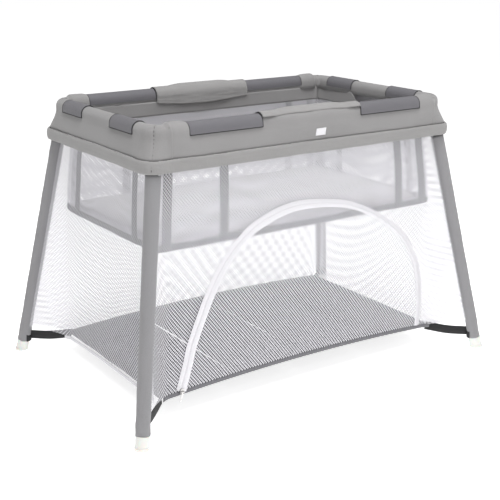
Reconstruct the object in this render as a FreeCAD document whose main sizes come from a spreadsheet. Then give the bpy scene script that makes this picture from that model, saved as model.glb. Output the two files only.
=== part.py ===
import FreeCAD, Part
import math
import os

import Sketcher
from FreeCAD import Placement, Rotation, Vector

# Travel play yard with a clip-on bassinet insert, in millimetres.
# X runs along the long side, -Y is the front (the side with the zip door), +Z is up.
# The origin is on the ground under the middle of the yard.

# alias, value in mm (angles in degrees), what it is
DIMENSIONS = (
    ("rail_half_length", 430, "short rail axis from the middle"),
    ("rail_half_width", 256, "long rail axis from the middle"),
    ("rail_height", 698, "rail axis above the ground"),
    ("rail_diameter", 25, "rail tube, outside"),
    ("tube_wall", 1.5, "wall of the rail and leg tubes"),
    ("bend_radius", 34, "axis radius of the rim's corners"),
    ("foot_half_length", 540, "foot centre from the middle, along X"),
    ("foot_half_width", 357, "foot centre from the middle, along Y"),
    ("leg_top_x", 418, "leg axis at the rim's top, along X"),
    ("leg_top_y", 240, "leg axis at the rim's top, along Y"),
    ("rim_top", 715, "top of the covered rail"),
    ("leg_diameter", 22, "leg tube, outside"),
    ("leg_low", 12, "leg tube's lower end above the ground"),
    ("leg_high", 672, "leg tube's upper end above the ground"),
    ("foot_radius", 16.5, "foot collar"),
    ("sole_radius", 18, "foot sole"),
    ("foot_top", 30, "top of the foot collar"),
    ("sole_thickness", 6, "foot sole"),
    ("socket_gap", 0.05, "radial gap of a tube in its socket"),
    ("bracket_radius", 15, "corner bracket's elbow"),
    ("socket_radius", 15.8, "corner bracket's short rail socket, outside"),
    ("boss_radius", 14.4, "corner bracket's leg boss, outside"),
    ("socket_depth", 30, "how far a tube goes into its socket"),
    ("boss_low", 646, "bottom of the bracket's leg boss"),
    ("boss_high", 700, "top of the bracket's leg boss"),
    ("corner_pivot", 376, "corner pivot from the middle, along X"),
    ("bore_overrun", 10, "how far a cutting tool runs beyond what it cuts"),
    ("fork_height", 28, "corner fork, top to bottom"),
    ("fork_overlap", 6, "fork's block into the elbow"),
    ("fork_width", 34, "corner fork, outside"),
    ("fork_gap", 26.4, "space between the fork's ears"),
    ("fork_depth", 19, "fork's back wall beyond the pivot"),
    ("pin_diameter", 8, "pivot pins"),
    ("pin_head_radius", 6.5, "pivot pin heads"),
    ("pin_head_thickness", 2, "pivot pin heads"),
    ("pin_clearance", 0.05, "radial running gap of a pivot pin"),
    ("open_clearance", 0.1, "radial gap of the pin at the right corners"),
    ("rail_overrun", 12, "long rail tube beyond its corner pivot"),
    ("lock_height", 710, "centre pivot above the ground"),
    ("lock_ear_radius", 8, "centre pivot ears"),
    ("lock_tongue_width", 21.4, "middle tongue of the centre hinge"),
    ("lock_ear_gap", 22, "space between the outer ears"),
    ("lock_width", 34, "centre housing, outside"),
    ("lock_low", 684, "bottom of the centre housing"),
    ("lock_step", 700, "top of the housing under the ears"),
    ("lock_high", 706, "top of the housing beside the ears"),
    ("lock_ear_reach", 16, "ears' length from the pivot"),
    ("lock_block_end", 46, "end of the housing's block"),
    ("lock_sleeve_start", 44, "start of the housing's round sleeve"),
    ("lock_sleeve_end", 62, "end of the housing's round sleeve"),
    ("lock_sleeve_radius", 17, "housing's round sleeve"),
    ("lock_face_gap", 0.3, "half the gap between the two housings"),
    ("lock_ear_floor", 0.5, "housing left under the gap between the ears"),
    ("tube_inner_end", 40, "long rail tube's end at the centre"),
    ("button_x", 31, "lock button from the centre"),
    ("button_z", 692, "lock button above the ground"),
    ("button_radius", 6.5, "lock button"),
    ("button_clearance", 0.08, "radial gap round the button"),
    ("button_length", 7.5, "lock button, along its travel"),
    ("button_proud", 3, "button outside the housing"),
    ("button_well", 8, "depth of the button's well"),
    ("cover_radius", 17, "padded rail cover, outside"),
    ("cover_bore", 12.8, "padded rail cover, inside"),
    ("cover_start", 64, "long rail cover's inner end"),
    ("cover_end", 355, "long rail cover's outer end"),
    ("end_cover_half", 190, "short rail cover, half length"),
    ("clip_bore", 17.3, "bassinet clip, inside radius"),
    ("clip_wall", 3, "bassinet clip wall"),
    ("clip_outer_drop", 10, "clip's outer leg below the rail axis"),
    ("clip_inner_drop", 8, "clip's inner leg below the rail axis"),
    ("clip_lip_out", 27, "clip lip from the rail axis"),
    ("clip_lip_drop", 14, "top of the lip below the rail axis"),
    ("clip_lip_thickness", 2.5, "lip's edge"),
    ("long_clip_start", 150, "long side clip's inner end"),
    ("long_clip_length", 200, "long side clip"),
    ("end_clip_start", 76, "end clip's inner end"),
    ("end_clip_length", 112, "end clip"),
    ("skirt_top", 680, "top of the hanging skirt"),
    ("skirt_bottom", 612, "bottom of the padded band"),
    ("band_top", 632, "top of the padded band"),
    ("skirt_top_x", 450, "skirt's half length at its top"),
    ("skirt_top_y", 276, "skirt's half width at its top"),
    ("skirt_bottom_x", 469, "skirt's half length at its bottom"),
    ("skirt_bottom_y", 286, "skirt's half width at its bottom"),
    ("skirt_corner", 44, "skirt's corner radius"),
    ("skirt_thickness", 3, "skirt cloth with its lining"),
    ("band_thickness", 6, "padded band"),
    ("skirt_split", 396, "where the end skirts meet the long ones"),
    ("cloth_gap", 1, "gap between two cloth solids"),
    ("web_inset", 8, "cloth under the short rail, from the skirt's top edge"),
    ("web_thickness", 5, "cloth under the short rail"),
    ("web_drop", 6, "cloth under the short rail, below the axis and below the skirt's top"),
    ("sleeve_radius", 16, "leg sleeve, outside"),
    ("sleeve_bore", 11.4, "leg sleeve, inside"),
    ("sleeve_low", 34, "bottom of the leg sleeve"),
    ("sleeve_high", 602, "top of the leg sleeve"),
    ("net_thickness", 1.5, "netting"),
    ("net_top", 676, "top of the netting"),
    ("net_leg_gap", 19, "netting's edge from the leg's axis"),
    ("net_top_y", 258, "long netting at its top"),
    ("net_top_x", 432, "end netting at its top"),
    ("net_foot", 42, "netting's lowest point at a foot"),
    ("hem_height", 62, "netting's bottom along the floor"),
    ("hem_long_x", 428, "end of the long hem"),
    ("hem_long_y", 262, "long hem from the middle"),
    ("hem_end_x", 442, "end hem from the middle"),
    ("hem_end_y", 248, "end of the end hem"),
    ("floor_half_length", 438, "padded floor"),
    ("floor_half_width", 257, "padded floor"),
    ("floor_low", 53, "underside of the padded floor"),
    ("floor_thickness", 8, "padded floor"),
    ("floor_corner", 20, "padded floor's corner radius"),
    ("strap_width", 14, "webbing from the floor to a foot"),
    ("strap_thickness", 1.6, "webbing"),
    ("strap_floor_height", 47, "webbing's middle at the floor"),
    ("strap_foot_height", 14, "webbing's middle at the foot"),
    ("strap_floor_gap", 1, "webbing from the hem's corner"),
    ("strap_foot_gap", 5, "webbing from the foot's sole"),
    ("door_tape_width", 22, "zip door's tape"),
    ("door_tape_thickness", 1.5, "zip door's tape"),
    ("door_tape_y", 263.5, "inner face of the door's tape"),
    ("slider_gap", 0.4, "slider from the tape"),
    ("slider_width", 9, "zip slider"),
    ("slider_height", 14, "zip slider"),
    ("slider_plate", 3, "zip slider's plate"),
    ("slider_lug_reach", 4.3, "slider's lugs beyond its plate"),
    ("slider_lug_width", 1.8, "slider's lugs"),
    ("slider_lug_height", 4, "slider's lugs"),
    ("slider_lug_root", 0.5, "slider's lugs into its plate"),
    ("slider_pin_radius", 1, "pin that the pull swings on"),
    ("slider_pin_reach", 2.2, "pull's pin beyond the slider's plate"),
    ("pull_width", 4.6, "pull tab"),
    ("pull_thickness", 1.6, "pull tab"),
    ("pull_length", 24, "pull tab below its pin"),
    ("pull_eye_radius", 1.9, "pull tab's eye, outside"),
    ("pull_clearance", 0.06, "radial gap of the pull's eye"),
    ("bassinet_half_length", 414, "bassinet, outside"),
    ("bassinet_half_width", 238, "bassinet, outside"),
    ("bassinet_end_half_width", 231, "bassinet end wall"),
    ("bassinet_wall", 2, "bassinet cloth"),
    ("bassinet_corner_gap", 6, "end of a long wall from the end wall's outside"),
    ("bassinet_floor_gap", 4, "bassinet floor from the walls' outside"),
    ("bassinet_bottom", 418, "underside of the bassinet"),
    ("bassinet_floor", 4, "bassinet floor"),
    ("bassinet_top", 678, "top of the bassinet's walls"),
    ("mattress_panel", 196, "one folding panel of the mattress"),
    ("mattress_gap", 4, "fold between two panels"),
    ("mattress_width", 448, "mattress"),
    ("mattress_thickness", 22, "mattress"),
    ("mattress_rest_gap", 0.5, "mattress above the bassinet floor"),
)

doc = FreeCAD.newDocument("travel_play_yard")
sheet = doc.addObject("Spreadsheet::Sheet", "Dimensions")
for row, (alias, value, meaning) in enumerate(DIMENSIONS, start=1):
    sheet.set(f"A{row}", meaning)
    sheet.set(f"B{row}", str(value))
    sheet.setAlias(f"B{row}", alias)
doc.recompute()

LEFT, RIGHT = -1, 1
FRONT, BACK = -1, 1
END_NAMES = {LEFT: "left", RIGHT: "right"}
SIDE_NAMES = {FRONT: "front", BACK: "back"}
UP = Vector(0, 0, 1)
ALONG_X = Rotation(Vector(0, 1, 0), 90)
ALONG_Y = Rotation(Vector(1, 0, 0), -90)
subparts = {}


def dim(alias):
    """A driving dimension, as the sheet holds it."""
    return float(sheet.get(alias))


def cell(text):
    """An expression in which each driving dimension is read from the sheet."""
    words = text.split()
    known = {alias for alias, _, _ in DIMENSIONS}
    return " ".join(f"Dimensions.{word}" if word in known else word for word in words)


def bind(feature, **sizes):
    for name, text in sizes.items():
        feature.setExpression(name, cell(text))
    return feature


def keep(feature, label):
    """Name a finished sub-part; its label is its node."""
    feature.Label = label
    subparts[label] = feature
    return feature


def box(place, length, width, height):
    """A box centred on its placement in X and Y, standing on it in Z."""
    made = bind(doc.addObject("Part::Box", "Block"), Length=length, Width=width, Height=height)
    doc.recompute()
    middle = Vector(-made.Length.Value / 2, -made.Width.Value / 2, 0)
    made.Placement = place.multiply(Placement(middle, Rotation()))
    return made


def cylinder(place, radius, height):
    made = bind(doc.addObject("Part::Cylinder", "Round"), Radius=radius, Height=height)
    made.Placement = place
    return made


def fuse(*features):
    made = doc.addObject("Part::MultiFuse", "Joined")
    made.Shapes = list(features)
    return made


def cut(base, tool):
    made = doc.addObject("Part::Cut", "Trimmed")
    made.Base = base
    made.Tool = tool
    return made


def at(x, y, z, rotation=Rotation()):
    return Placement(Vector(x, y, z), rotation)


def sketch_on(body, plane_role):
    """A sketch on one of the body's own origin planes."""
    sketch = body.newObject("Sketcher::SketchObject", "Profile")
    plane = next(f for f in body.Origin.OriginFeatures if f.Role == plane_role)
    sketch.AttachmentSupport = [(plane, "")]
    sketch.MapMode = "FlatFace"
    return sketch


def pad(body, sketch, length):
    made = body.newObject("PartDesign::Pad", "Pad")
    made.Profile = sketch
    bind(made, Length=length)
    body.Tip = made
    return made


def tube(label, place, outer, bore, length):
    """A round tube padded from a ring, along its placement's Z."""
    body = doc.addObject("PartDesign::Body", label)
    ring = sketch_on(body, "XY_Plane")
    for number, radius in enumerate((outer, bore)):
        ring.addGeometry(Part.Circle(Vector(0, 0, 0), UP, 10 + number), False)
        ring.addConstraint(Sketcher.Constraint("Coincident", number, 3, -1, 1))
    for number, radius in enumerate((outer, bore)):
        added = ring.addConstraint(Sketcher.Constraint("Radius", number, 10 + number))
        ring.setExpression(f"Constraints[{added}]", cell(radius))
    pad(body, ring, length)
    body.Placement = place
    return body


def leg_point(end, side, height):
    """The point of a leg's axis at a height above the ground."""
    foot = Vector(end * dim("foot_half_length"), side * dim("foot_half_width"), 0)
    top = Vector(end * dim("leg_top_x"), side * dim("leg_top_y"), dim("rim_top"))
    return foot + (top - foot) * (height / dim("rim_top"))


def leg_place(end, side, height):
    """A placement on a leg's axis, with Z along the leg."""
    direction = leg_point(end, side, 1) - leg_point(end, side, 0)
    return Placement(leg_point(end, side, height), Rotation(UP, direction))


def leg_stretch(low, high):
    """The expression for a length along a leg between two heights."""
    run = "( foot_half_length - leg_top_x ) ^ 2 + ( foot_half_width - leg_top_y ) ^ 2"
    return f"( ( {high} ) - ( {low} ) ) * sqrt( {run} + rim_top ^ 2 ) / rim_top"


def make_foot(end, side, name):
    """A moulded cap on the leg's lower end, with a flat sole."""
    ground = -dim("foot_top")
    collar = cylinder(leg_place(end, side, ground), "foot_radius", leg_stretch(ground, "foot_top"))
    foot = leg_point(end, side, 0)
    sole = cylinder(at(foot.x, foot.y, 0), "sole_radius", "sole_thickness")
    below = box(at(foot.x, foot.y, 2 * ground), "foot_radius * 4", "foot_radius * 4", f"{-2 * ground}")
    bore = cylinder(
        leg_place(end, side, dim("leg_low")),
        "leg_diameter / 2 + socket_gap",
        leg_stretch("leg_low", "foot_top + bore_overrun"),
    )
    keep(cut(cut(fuse(collar, sole), below), bore), f"foot_{name}")


def make_leg(end, side, name):
    place = leg_place(end, side, dim("leg_low"))
    outer = "leg_diameter / 2"
    keep(
        tube(f"leg_{name}", place, outer, f"{outer} - tube_wall", leg_stretch("leg_low", "leg_high")),
        f"leg_{name}",
    )


def make_corner(end, side, name):
    """A moulded corner: an elbow with sockets for the short rail and the leg, and a fork."""
    bend_x = dim("rail_half_length") - dim("bend_radius")
    bend_y = dim("rail_half_width") - dim("bend_radius")
    height = dim("rail_height")
    elbow = doc.addObject("Part::Torus", "Elbow")
    bind(elbow, Radius1="bend_radius", Radius2="bracket_radius")
    elbow.Angle3 = 90
    quarter = {(RIGHT, BACK): 0, (LEFT, BACK): 90, (LEFT, FRONT): 180, (RIGHT, FRONT): 270}
    elbow.Placement = at(end * bend_x, side * bend_y, height, Rotation(UP, quarter[end, side]))
    rail_x = end * dim("rail_half_length")
    turn = ALONG_Y if side == FRONT else ALONG_Y.inverted()
    stub = cylinder(at(rail_x, side * bend_y, height, turn), "socket_radius", "socket_depth")
    boss = cylinder(
        leg_place(end, side, dim("boss_low")), "boss_radius", leg_stretch("boss_low", "boss_high")
    )
    pivot_x = end * dim("corner_pivot")
    rail_y = side * dim("rail_half_width")
    fork_low = height - dim("fork_height") / 2
    block_end = bend_x + dim("fork_overlap")
    block = box(
        at(end * (dim("corner_pivot") + block_end) / 2, rail_y, fork_low),
        "rail_half_length - bend_radius + fork_overlap - corner_pivot",
        "fork_width",
        "fork_height",
    )
    ear = cylinder(
        at(pivot_x, rail_y - dim("fork_width") / 2, height, ALONG_Y), "fork_height / 2", "fork_width"
    )
    slot_middle = pivot_x + end * (dim("fork_depth") - dim("fork_height")) / 2
    slot = box(
        at(slot_middle, rail_y, fork_low - 1), "fork_depth + fork_height", "fork_gap", "fork_height + 2"
    )
    pin_bore = cylinder(
        at(pivot_x, rail_y - dim("fork_width"), height, ALONG_Y), "pin_diameter / 2", "fork_width * 2"
    )
    rail_bore = cylinder(
        at(rail_x, side * bend_y, height, turn), "rail_diameter / 2 + socket_gap", "socket_depth + 1"
    )
    leg_bore = cylinder(
        leg_place(end, side, dim("boss_low") - dim("bore_overrun")),
        "leg_diameter / 2 + socket_gap",
        leg_stretch("boss_low - bore_overrun", "leg_high"),
    )
    forked = cut(fuse(block, ear), slot)
    keep(cut(fuse(elbow, stub, boss, forked), fuse(pin_bore, rail_bore, leg_bore)), f"corner_{name}")


def make_short_rail(end):
    name = f"short_rail_{END_NAMES[end]}"
    half = "( rail_half_width - bend_radius )"
    start = -(dim("rail_half_width") - dim("bend_radius"))
    place = at(end * dim("rail_half_length"), start, dim("rail_height"), ALONG_Y)
    outer = "rail_diameter / 2"
    keep(tube(name, place, outer, f"{outer} - tube_wall", f"{half} * 2"), name)


def pin(place, length):
    """A headed pivot pin, turned about its placement's Z and centred on it."""
    body = doc.addObject("PartDesign::Body", "Pin")
    profile = sketch_on(body, "XZ_Plane")
    half, shank = length / 2, dim("pin_diameter") / 2
    head, tip = dim("pin_head_radius"), length / 2 + dim("pin_head_thickness")
    outline = [(0, -tip), (head, -tip), (head, -half), (shank, -half)]
    outline += [(radius, -z) for radius, z in reversed(outline)]
    for number, (start, end) in enumerate(zip(outline, outline[1:] + outline[:1])):
        profile.addGeometry(Part.LineSegment(Vector(*start, 0), Vector(*end, 0)), False)
    for number in range(len(outline)):
        profile.addConstraint(
            Sketcher.Constraint("Coincident", number, 2, (number + 1) % len(outline), 1)
        )
    for number in range(len(outline)):
        way = "Horizontal" if number % 2 == 0 else "Vertical"
        profile.addConstraint(Sketcher.Constraint(way, number))
    profile.addConstraint(Sketcher.Constraint("PointOnObject", 0, 1, -2))
    shank_size = profile.addConstraint(Sketcher.Constraint("DistanceX", -1, 1, 3, 1, shank))
    profile.setExpression(f"Constraints[{shank_size}]", cell("pin_diameter / 2"))
    head_size = profile.addConstraint(Sketcher.Constraint("DistanceX", 0, 1, 0, 2, head))
    profile.setExpression(f"Constraints[{head_size}]", cell("pin_head_radius"))
    thickness = profile.addConstraint(Sketcher.Constraint("DistanceY", 1, 1, 1, 2, tip - half))
    profile.setExpression(f"Constraints[{thickness}]", cell("pin_head_thickness"))
    turned = body.newObject("PartDesign::Revolution", "Turned")
    turned.Profile = profile
    turned.ReferenceAxis = (profile, ["V_Axis"])
    turned.Angle = 360
    body.Tip = turned
    body.Placement = place
    return body


def make_corner_pins(end):
    places = [
        at(end * dim("corner_pivot"), side * dim("rail_half_width"), dim("rail_height"), ALONG_Y)
        for side in (FRONT, BACK)
    ]
    pins = [pin(place, dim("fork_width")) for place in places]
    both = doc.addObject("Part::Compound", "Pins")
    both.Links = pins
    keep(both, f"corner_pins_{END_NAMES[end]}")


def rail_point(end, side, reach):
    """A point of a long rail's axis, its reach counted outwards from the centre."""
    return Vector(end * reach, side * dim("rail_half_width"), dim("rail_height"))


def along_rail(end):
    return ALONG_X if end == RIGHT else ALONG_X.inverted()


def make_long_rail(end, side, name):
    """Half of a long rail: a tube with a cross hole for its corner pivot."""
    start, outer = rail_point(end, side, dim("tube_inner_end")), "rail_diameter / 2"
    length = "corner_pivot + rail_overrun - tube_inner_end"
    plain = tube("Plain rail", Placement(start, along_rail(end)), outer, f"{outer} - tube_wall", length)
    gap = "pin_clearance" if end == LEFT else "open_clearance"
    pivot = rail_point(end, side, dim("corner_pivot")) - Vector(0, dim("rail_diameter"), 0)
    hole = cylinder(Placement(pivot, ALONG_Y), f"pin_diameter / 2 + {gap}", "rail_diameter * 2")
    keep(cut(plain, hole), f"{name}_rail")


def make_lock_housing(end, side, name):
    """Half of the centre hinge: a block and sleeve, with two outer ears or one tongue."""
    rail_y, height = side * dim("rail_half_width"), dim("rail_height")
    low, step, high = dim("lock_low"), dim("lock_step"), dim("lock_high")
    gap, reach, block_end = dim("lock_face_gap"), dim("lock_ear_reach"), dim("lock_block_end")
    lower = box(
        at(end * (gap + block_end) / 2, rail_y, low),
        "lock_block_end - lock_face_gap",
        "lock_width",
        "lock_step - lock_low",
    )
    upper = box(
        at(end * (reach + block_end) / 2, rail_y, step - 1),
        "lock_block_end - lock_ear_reach",
        "lock_width",
        "lock_high - lock_step + 1",
    )
    sleeve = cylinder(
        Placement(rail_point(end, side, dim("lock_sleeve_start")), along_rail(end)),
        "lock_sleeve_radius",
        "lock_sleeve_end - lock_sleeve_start",
    )
    pivot_z, radius = dim("lock_height"), dim("lock_ear_radius")
    ear = cylinder(at(0, rail_y - dim("lock_width") / 2, pivot_z, ALONG_Y), "lock_ear_radius", "lock_width")
    web = box(
        at(end * (reach + 1) / 2, rail_y, pivot_z - radius),
        "lock_ear_reach + 1",
        "lock_width",
        "lock_ear_radius + 1",
    )
    floor = at(0, rail_y, step + dim("lock_ear_floor"))
    gap_box = box(floor, "lock_ear_reach * 2", "lock_ear_gap", "lock_width")
    if end == LEFT:
        knuckle = cut(fuse(ear, web), gap_box)
        hole_radius = "pin_diameter / 2"
    else:
        tongue = box(floor, "lock_ear_reach * 4", "lock_tongue_width", "lock_width")
        knuckle = doc.addObject("Part::Common", "Tongue")
        knuckle.Base, knuckle.Tool = fuse(ear, web), tongue
        hole_radius = "pin_diameter / 2 + pin_clearance"
    pin_hole = cylinder(
        at(0, rail_y - dim("lock_width"), pivot_z, ALONG_Y), hole_radius, "lock_width * 2"
    )
    tube_bore = cylinder(
        Placement(rail_point(end, side, dim("tube_inner_end")), along_rail(end)),
        "rail_diameter / 2 + socket_gap",
        "lock_sleeve_end - tube_inner_end + 1",
    )
    tools = [pin_hole, tube_bore]
    if end == LEFT:
        face_y = rail_y + side * dim("lock_width") / 2
        inwards = ALONG_Y if side == FRONT else ALONG_Y.inverted()
        tools.append(
            cylinder(
                at(-dim("button_x"), face_y, dim("button_z"), inwards),
                "button_radius + button_clearance",
                "button_well",
            )
        )
    keep(cut(fuse(lower, upper, sleeve, knuckle), fuse(*tools)), f"{name}_lock_housing")


def make_lock_button(side):
    """The release button, a round key in a well in the left housing."""
    name = f"lock_button_{SIDE_NAMES[side]}"
    inwards = ALONG_Y if side == FRONT else ALONG_Y.inverted()
    face_y = side * (dim("rail_half_width") + dim("lock_width") / 2 + dim("button_proud"))
    key = cylinder(
        at(-dim("button_x"), face_y, dim("button_z"), inwards), "button_radius", "button_length"
    )
    keep(key, name)


def make_centre_pin(side):
    place = at(0, side * dim("rail_half_width"), dim("lock_height"), ALONG_Y)
    keep(pin(place, dim("lock_width")), f"centre_pin_{SIDE_NAMES[side]}")


def make_rail_cover(end, side, name):
    place = Placement(rail_point(end, side, dim("cover_start")), along_rail(end))
    made = tube("Cover", place, "cover_radius", "cover_bore", "cover_end - cover_start")
    keep(made, f"{name}_rail_cover")


def clip(place, length):
    """A springy channel: a half ring with an inner leg and an outer leg with a turned-out lip.

    Its section lies across the placement's Z, with its outer side towards X and its top towards Y."""
    bore, wall = dim("clip_bore"), dim("clip_wall")
    outer, lip_out, lip = bore + wall, dim("clip_lip_out"), dim("clip_lip_drop")
    leg, inner_leg = dim("clip_outer_drop"), dim("clip_inner_drop")
    edge = lip + dim("clip_lip_thickness")
    right = [(outer, 0), (outer, -leg), (lip_out, -lip), (lip_out, -edge), (bore, -leg - wall), (bore, 0)]
    left = [(-bore, 0), (-bore, -inner_leg), (-outer, -inner_leg), (-outer, 0)]
    body = doc.addObject("PartDesign::Body", "Clip")
    profile = sketch_on(body, "XY_Plane")
    for points in (right, left):
        for start, end in zip(points, points[1:]):
            profile.addGeometry(Part.LineSegment(Vector(*start, 0), Vector(*end, 0)), False)
    for radius in (bore, outer):
        circle = Part.Circle(Vector(0, 0, 0), UP, radius)
        number = profile.addGeometry(Part.ArcOfCircle(circle, 0, math.pi), False)
        profile.addConstraint(Sketcher.Constraint("Coincident", number, 3, -1, 1))
        added = profile.addConstraint(Sketcher.Constraint("Radius", number, radius))
        text = "clip_bore" if radius == bore else "clip_bore + clip_wall"
        profile.setExpression(f"Constraints[{added}]", cell(text))
    pad(body, profile, length)
    body.Placement = place
    return body


def clip_rotation(outward, run):
    """Turn a clip's section so that its X faces outward, its Y up and its length along run."""
    return Rotation(outward, UP, run, "XYZ")


def make_long_clip(end, side, name):
    outward = Vector(0, side, 0)
    run = outward.cross(UP)
    reach = dim("long_clip_start")
    if run.x * end < 0:
        reach += dim("long_clip_length")
    place = Placement(rail_point(end, side, reach), clip_rotation(outward, run))
    keep(clip(place, "long_clip_length"), f"{name}_clip")


def make_end_clips(end):
    outward = Vector(end, 0, 0)
    run = outward.cross(UP)
    far = dim("end_clip_start") + dim("end_clip_length")
    starts = (dim("end_clip_start"), -far) if run.y > 0 else (far, -dim("end_clip_start"))
    clips = [
        clip(
            at(end * dim("rail_half_length"), y, dim("rail_height"), clip_rotation(outward, run)),
            "end_clip_length",
        )
        for y in starts
    ]
    both = doc.addObject("Part::Compound", "Clips")
    both.Links = clips
    keep(both, f"end_clips_{END_NAMES[end]}")


def rounded_rectangle(half_x, half_y, radius, z):
    """A closed wire round a rectangle with rounded corners, at height z."""
    corners = ((1, 1), (-1, 1), (-1, -1), (1, -1))
    arcs = []
    for number, (sx, sy) in enumerate(corners):
        centre = Vector(sx * (half_x - radius), sy * (half_y - radius), z)
        circle = Part.Circle(centre, UP, radius)
        start = math.pi / 2 * number
        arcs.append(Part.ArcOfCircle(circle, start, start + math.pi / 2))
    edges = []
    for arc, after in zip(arcs, arcs[1:] + arcs[:1]):
        edges.append(arc.toShape())
        edges.append(Part.LineSegment(arc.EndPoint, after.StartPoint).toShape())
    return Part.Wire(edges)


def skirt_section(z, inset):
    """The skirt's outline at a height: it flares from its top to its bottom."""
    share = (dim("skirt_top") - z) / (dim("skirt_top") - dim("skirt_bottom"))
    half_x = dim("skirt_top_x") + share * (dim("skirt_bottom_x") - dim("skirt_top_x"))
    half_y = dim("skirt_top_y") + share * (dim("skirt_bottom_y") - dim("skirt_top_y"))
    return rounded_rectangle(half_x - inset, half_y - inset, dim("skirt_corner") - inset, z)


def skirt_ring(low, high, thickness):
    solids = [
        Part.makeLoft([skirt_section(low, inset), skirt_section(high, inset)], True, True)
        for inset in (0, thickness)
    ]
    return solids[0].cut(solids[1])


def block(low, high):
    return Part.makeBox(high.x - low.x, high.y - low.y, high.z - low.z, low)


def cloth(label, shape):
    """A sewn piece, held as a plain shape worked out from the sheet."""
    made = doc.addObject("Part::Feature", "Cloth")
    made.Shape = shape
    return keep(made, label)


def skirt_web(end, half):
    """The cloth from under a short rail down to the skirt's top, inside the clips' lips."""
    inner = dim("skirt_top_x") - dim("web_inset")
    top, drop = dim("skirt_top"), dim("web_drop")
    blocks = []
    for thickness, low, high in (
        (dim("web_thickness"), top - drop, dim("rail_height") - drop),
        (dim("web_thickness") + dim("skirt_thickness") - dim("cloth_gap"), top - drop, top),
    ):
        near_x, far_x = sorted((end * inner, end * (inner + thickness)))
        blocks.append(block(Vector(near_x, -half, low), Vector(far_x, half, high)))
    return blocks


def make_skirts():
    """The cloth skirt with its padded band: an end piece round each end, a long piece between."""
    band = skirt_ring(dim("skirt_bottom"), dim("band_top"), dim("band_thickness"))
    whole = skirt_ring(dim("skirt_bottom"), dim("skirt_top"), dim("skirt_thickness")).fuse(band)
    split, gap, far = dim("skirt_split"), dim("cloth_gap") / 2, dim("foot_half_length")
    low, high = dim("skirt_bottom") - dim("bore_overrun"), dim("skirt_top") + dim("bore_overrun")
    for side in (FRONT, BACK):
        near_y, far_y = sorted((0, side * far))
        middle = block(Vector(gap - split, near_y, low), Vector(split - gap, far_y, high))
        cloth(f"skirt_{SIDE_NAMES[side]}", whole.common(middle))
    for end in (LEFT, RIGHT):
        near_x, far_x = sorted((end * (split + gap), end * far))
        piece = whole.common(block(Vector(near_x, -far, low), Vector(far_x, far, high)))
        half = dim("end_cover_half")
        start = Vector(end * dim("rail_half_length"), -half, dim("rail_height"))
        cover = Part.makeCylinder(dim("cover_radius"), 2 * half, start, Vector(0, 1, 0))
        bore = Part.makeCylinder(dim("cover_bore"), 2 * half, start, Vector(0, 1, 0))
        web = skirt_web(end, half)
        cloth(f"skirt_{END_NAMES[end]}", piece.fuse([cover, *web]).cut(bore).removeSplitter())


def make_leg_sleeves(end):
    sleeves = [
        tube(
            "Sleeve",
            leg_place(end, side, dim("sleeve_low")),
            "sleeve_radius",
            "sleeve_bore",
            leg_stretch("sleeve_low", "sleeve_high"),
        )
        for side in (FRONT, BACK)
    ]
    both = doc.addObject("Part::Compound", "Sleeves")
    both.Links = sleeves
    keep(both, f"leg_sleeves_{END_NAMES[end]}")


def sheet_of(corners, outward):
    """A flat cloth facet, its thickness laid inwards from its corners."""
    face = Part.Face(Part.makePolygon(corners + corners[:1]))
    return face.extrude(outward * -dim("net_thickness"))


def net(label, outward, upper, feet, hem):
    """A netting wall: a flat panel down to the hem, and a facet out to each leg."""
    main = sheet_of([upper[0], upper[1], hem[1], hem[0]], outward)
    wings = [sheet_of([upper[n], feet[n], hem[n]], outward) for n in (0, 1)]
    cloth(label, main.fuse(wings).removeSplitter())


def make_nets():
    top, low, hem = dim("net_top"), dim("net_foot"), dim("hem_height")
    shift = dim("net_leg_gap")
    for side in (FRONT, BACK):
        upper, feet, hems = [], [], []
        for end in (LEFT, RIGHT):
            leg_top, leg_foot = leg_point(end, side, top), leg_point(end, side, low)
            upper.append(Vector(leg_top.x - end * shift, side * dim("net_top_y"), top))
            feet.append(leg_foot - Vector(end * shift, 0, 0))
            hems.append(Vector(end * dim("hem_long_x"), side * dim("hem_long_y"), hem))
        net(f"netting_{SIDE_NAMES[side]}", Vector(0, side, 0), upper, feet, hems)
    for end in (LEFT, RIGHT):
        upper, feet, hems = [], [], []
        for side in (FRONT, BACK):
            leg_top, leg_foot = leg_point(end, side, top), leg_point(end, side, low)
            upper.append(Vector(end * dim("net_top_x"), leg_top.y - side * shift, top))
            feet.append(leg_foot - Vector(0, side * shift, 0))
            hems.append(Vector(end * dim("hem_end_x"), side * dim("hem_end_y"), hem))
        net(f"netting_{END_NAMES[end]}", Vector(end, 0, 0), upper, feet, hems)


def make_floor():
    outline = rounded_rectangle(
        dim("floor_half_length"), dim("floor_half_width"), dim("floor_corner"), dim("floor_low")
    )
    cloth("floor_panel", Part.Face(outline).extrude(Vector(0, 0, dim("floor_thickness"))))
    straps = []
    for end in (LEFT, RIGHT):
        for side in (FRONT, BACK):
            gap = dim("strap_floor_gap")
            corner = Vector(
                end * (dim("hem_end_x") + gap),
                side * (dim("hem_long_y") + gap),
                dim("strap_floor_height"),
            )
            foot = leg_point(end, side, dim("strap_foot_height"))
            away = Vector(corner.x - foot.x, corner.y - foot.y, 0).normalize()
            anchor = foot + away * (dim("sole_radius") + dim("strap_foot_gap"))
            run = anchor - corner
            across = UP.cross(run).normalize()
            strap = Part.makeBox(
                run.Length, dim("strap_thickness"), dim("strap_width"), Vector(0, 0, 0)
            )
            strap.translate(Vector(0, -dim("strap_thickness") / 2, -dim("strap_width") / 2))
            strap.Placement = Placement(corner, Rotation(run, across, UP, "XYZ")).multiply(
                strap.Placement
            )
            straps.append(strap)
    cloth("floor_straps", Part.makeCompound(straps))


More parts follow.
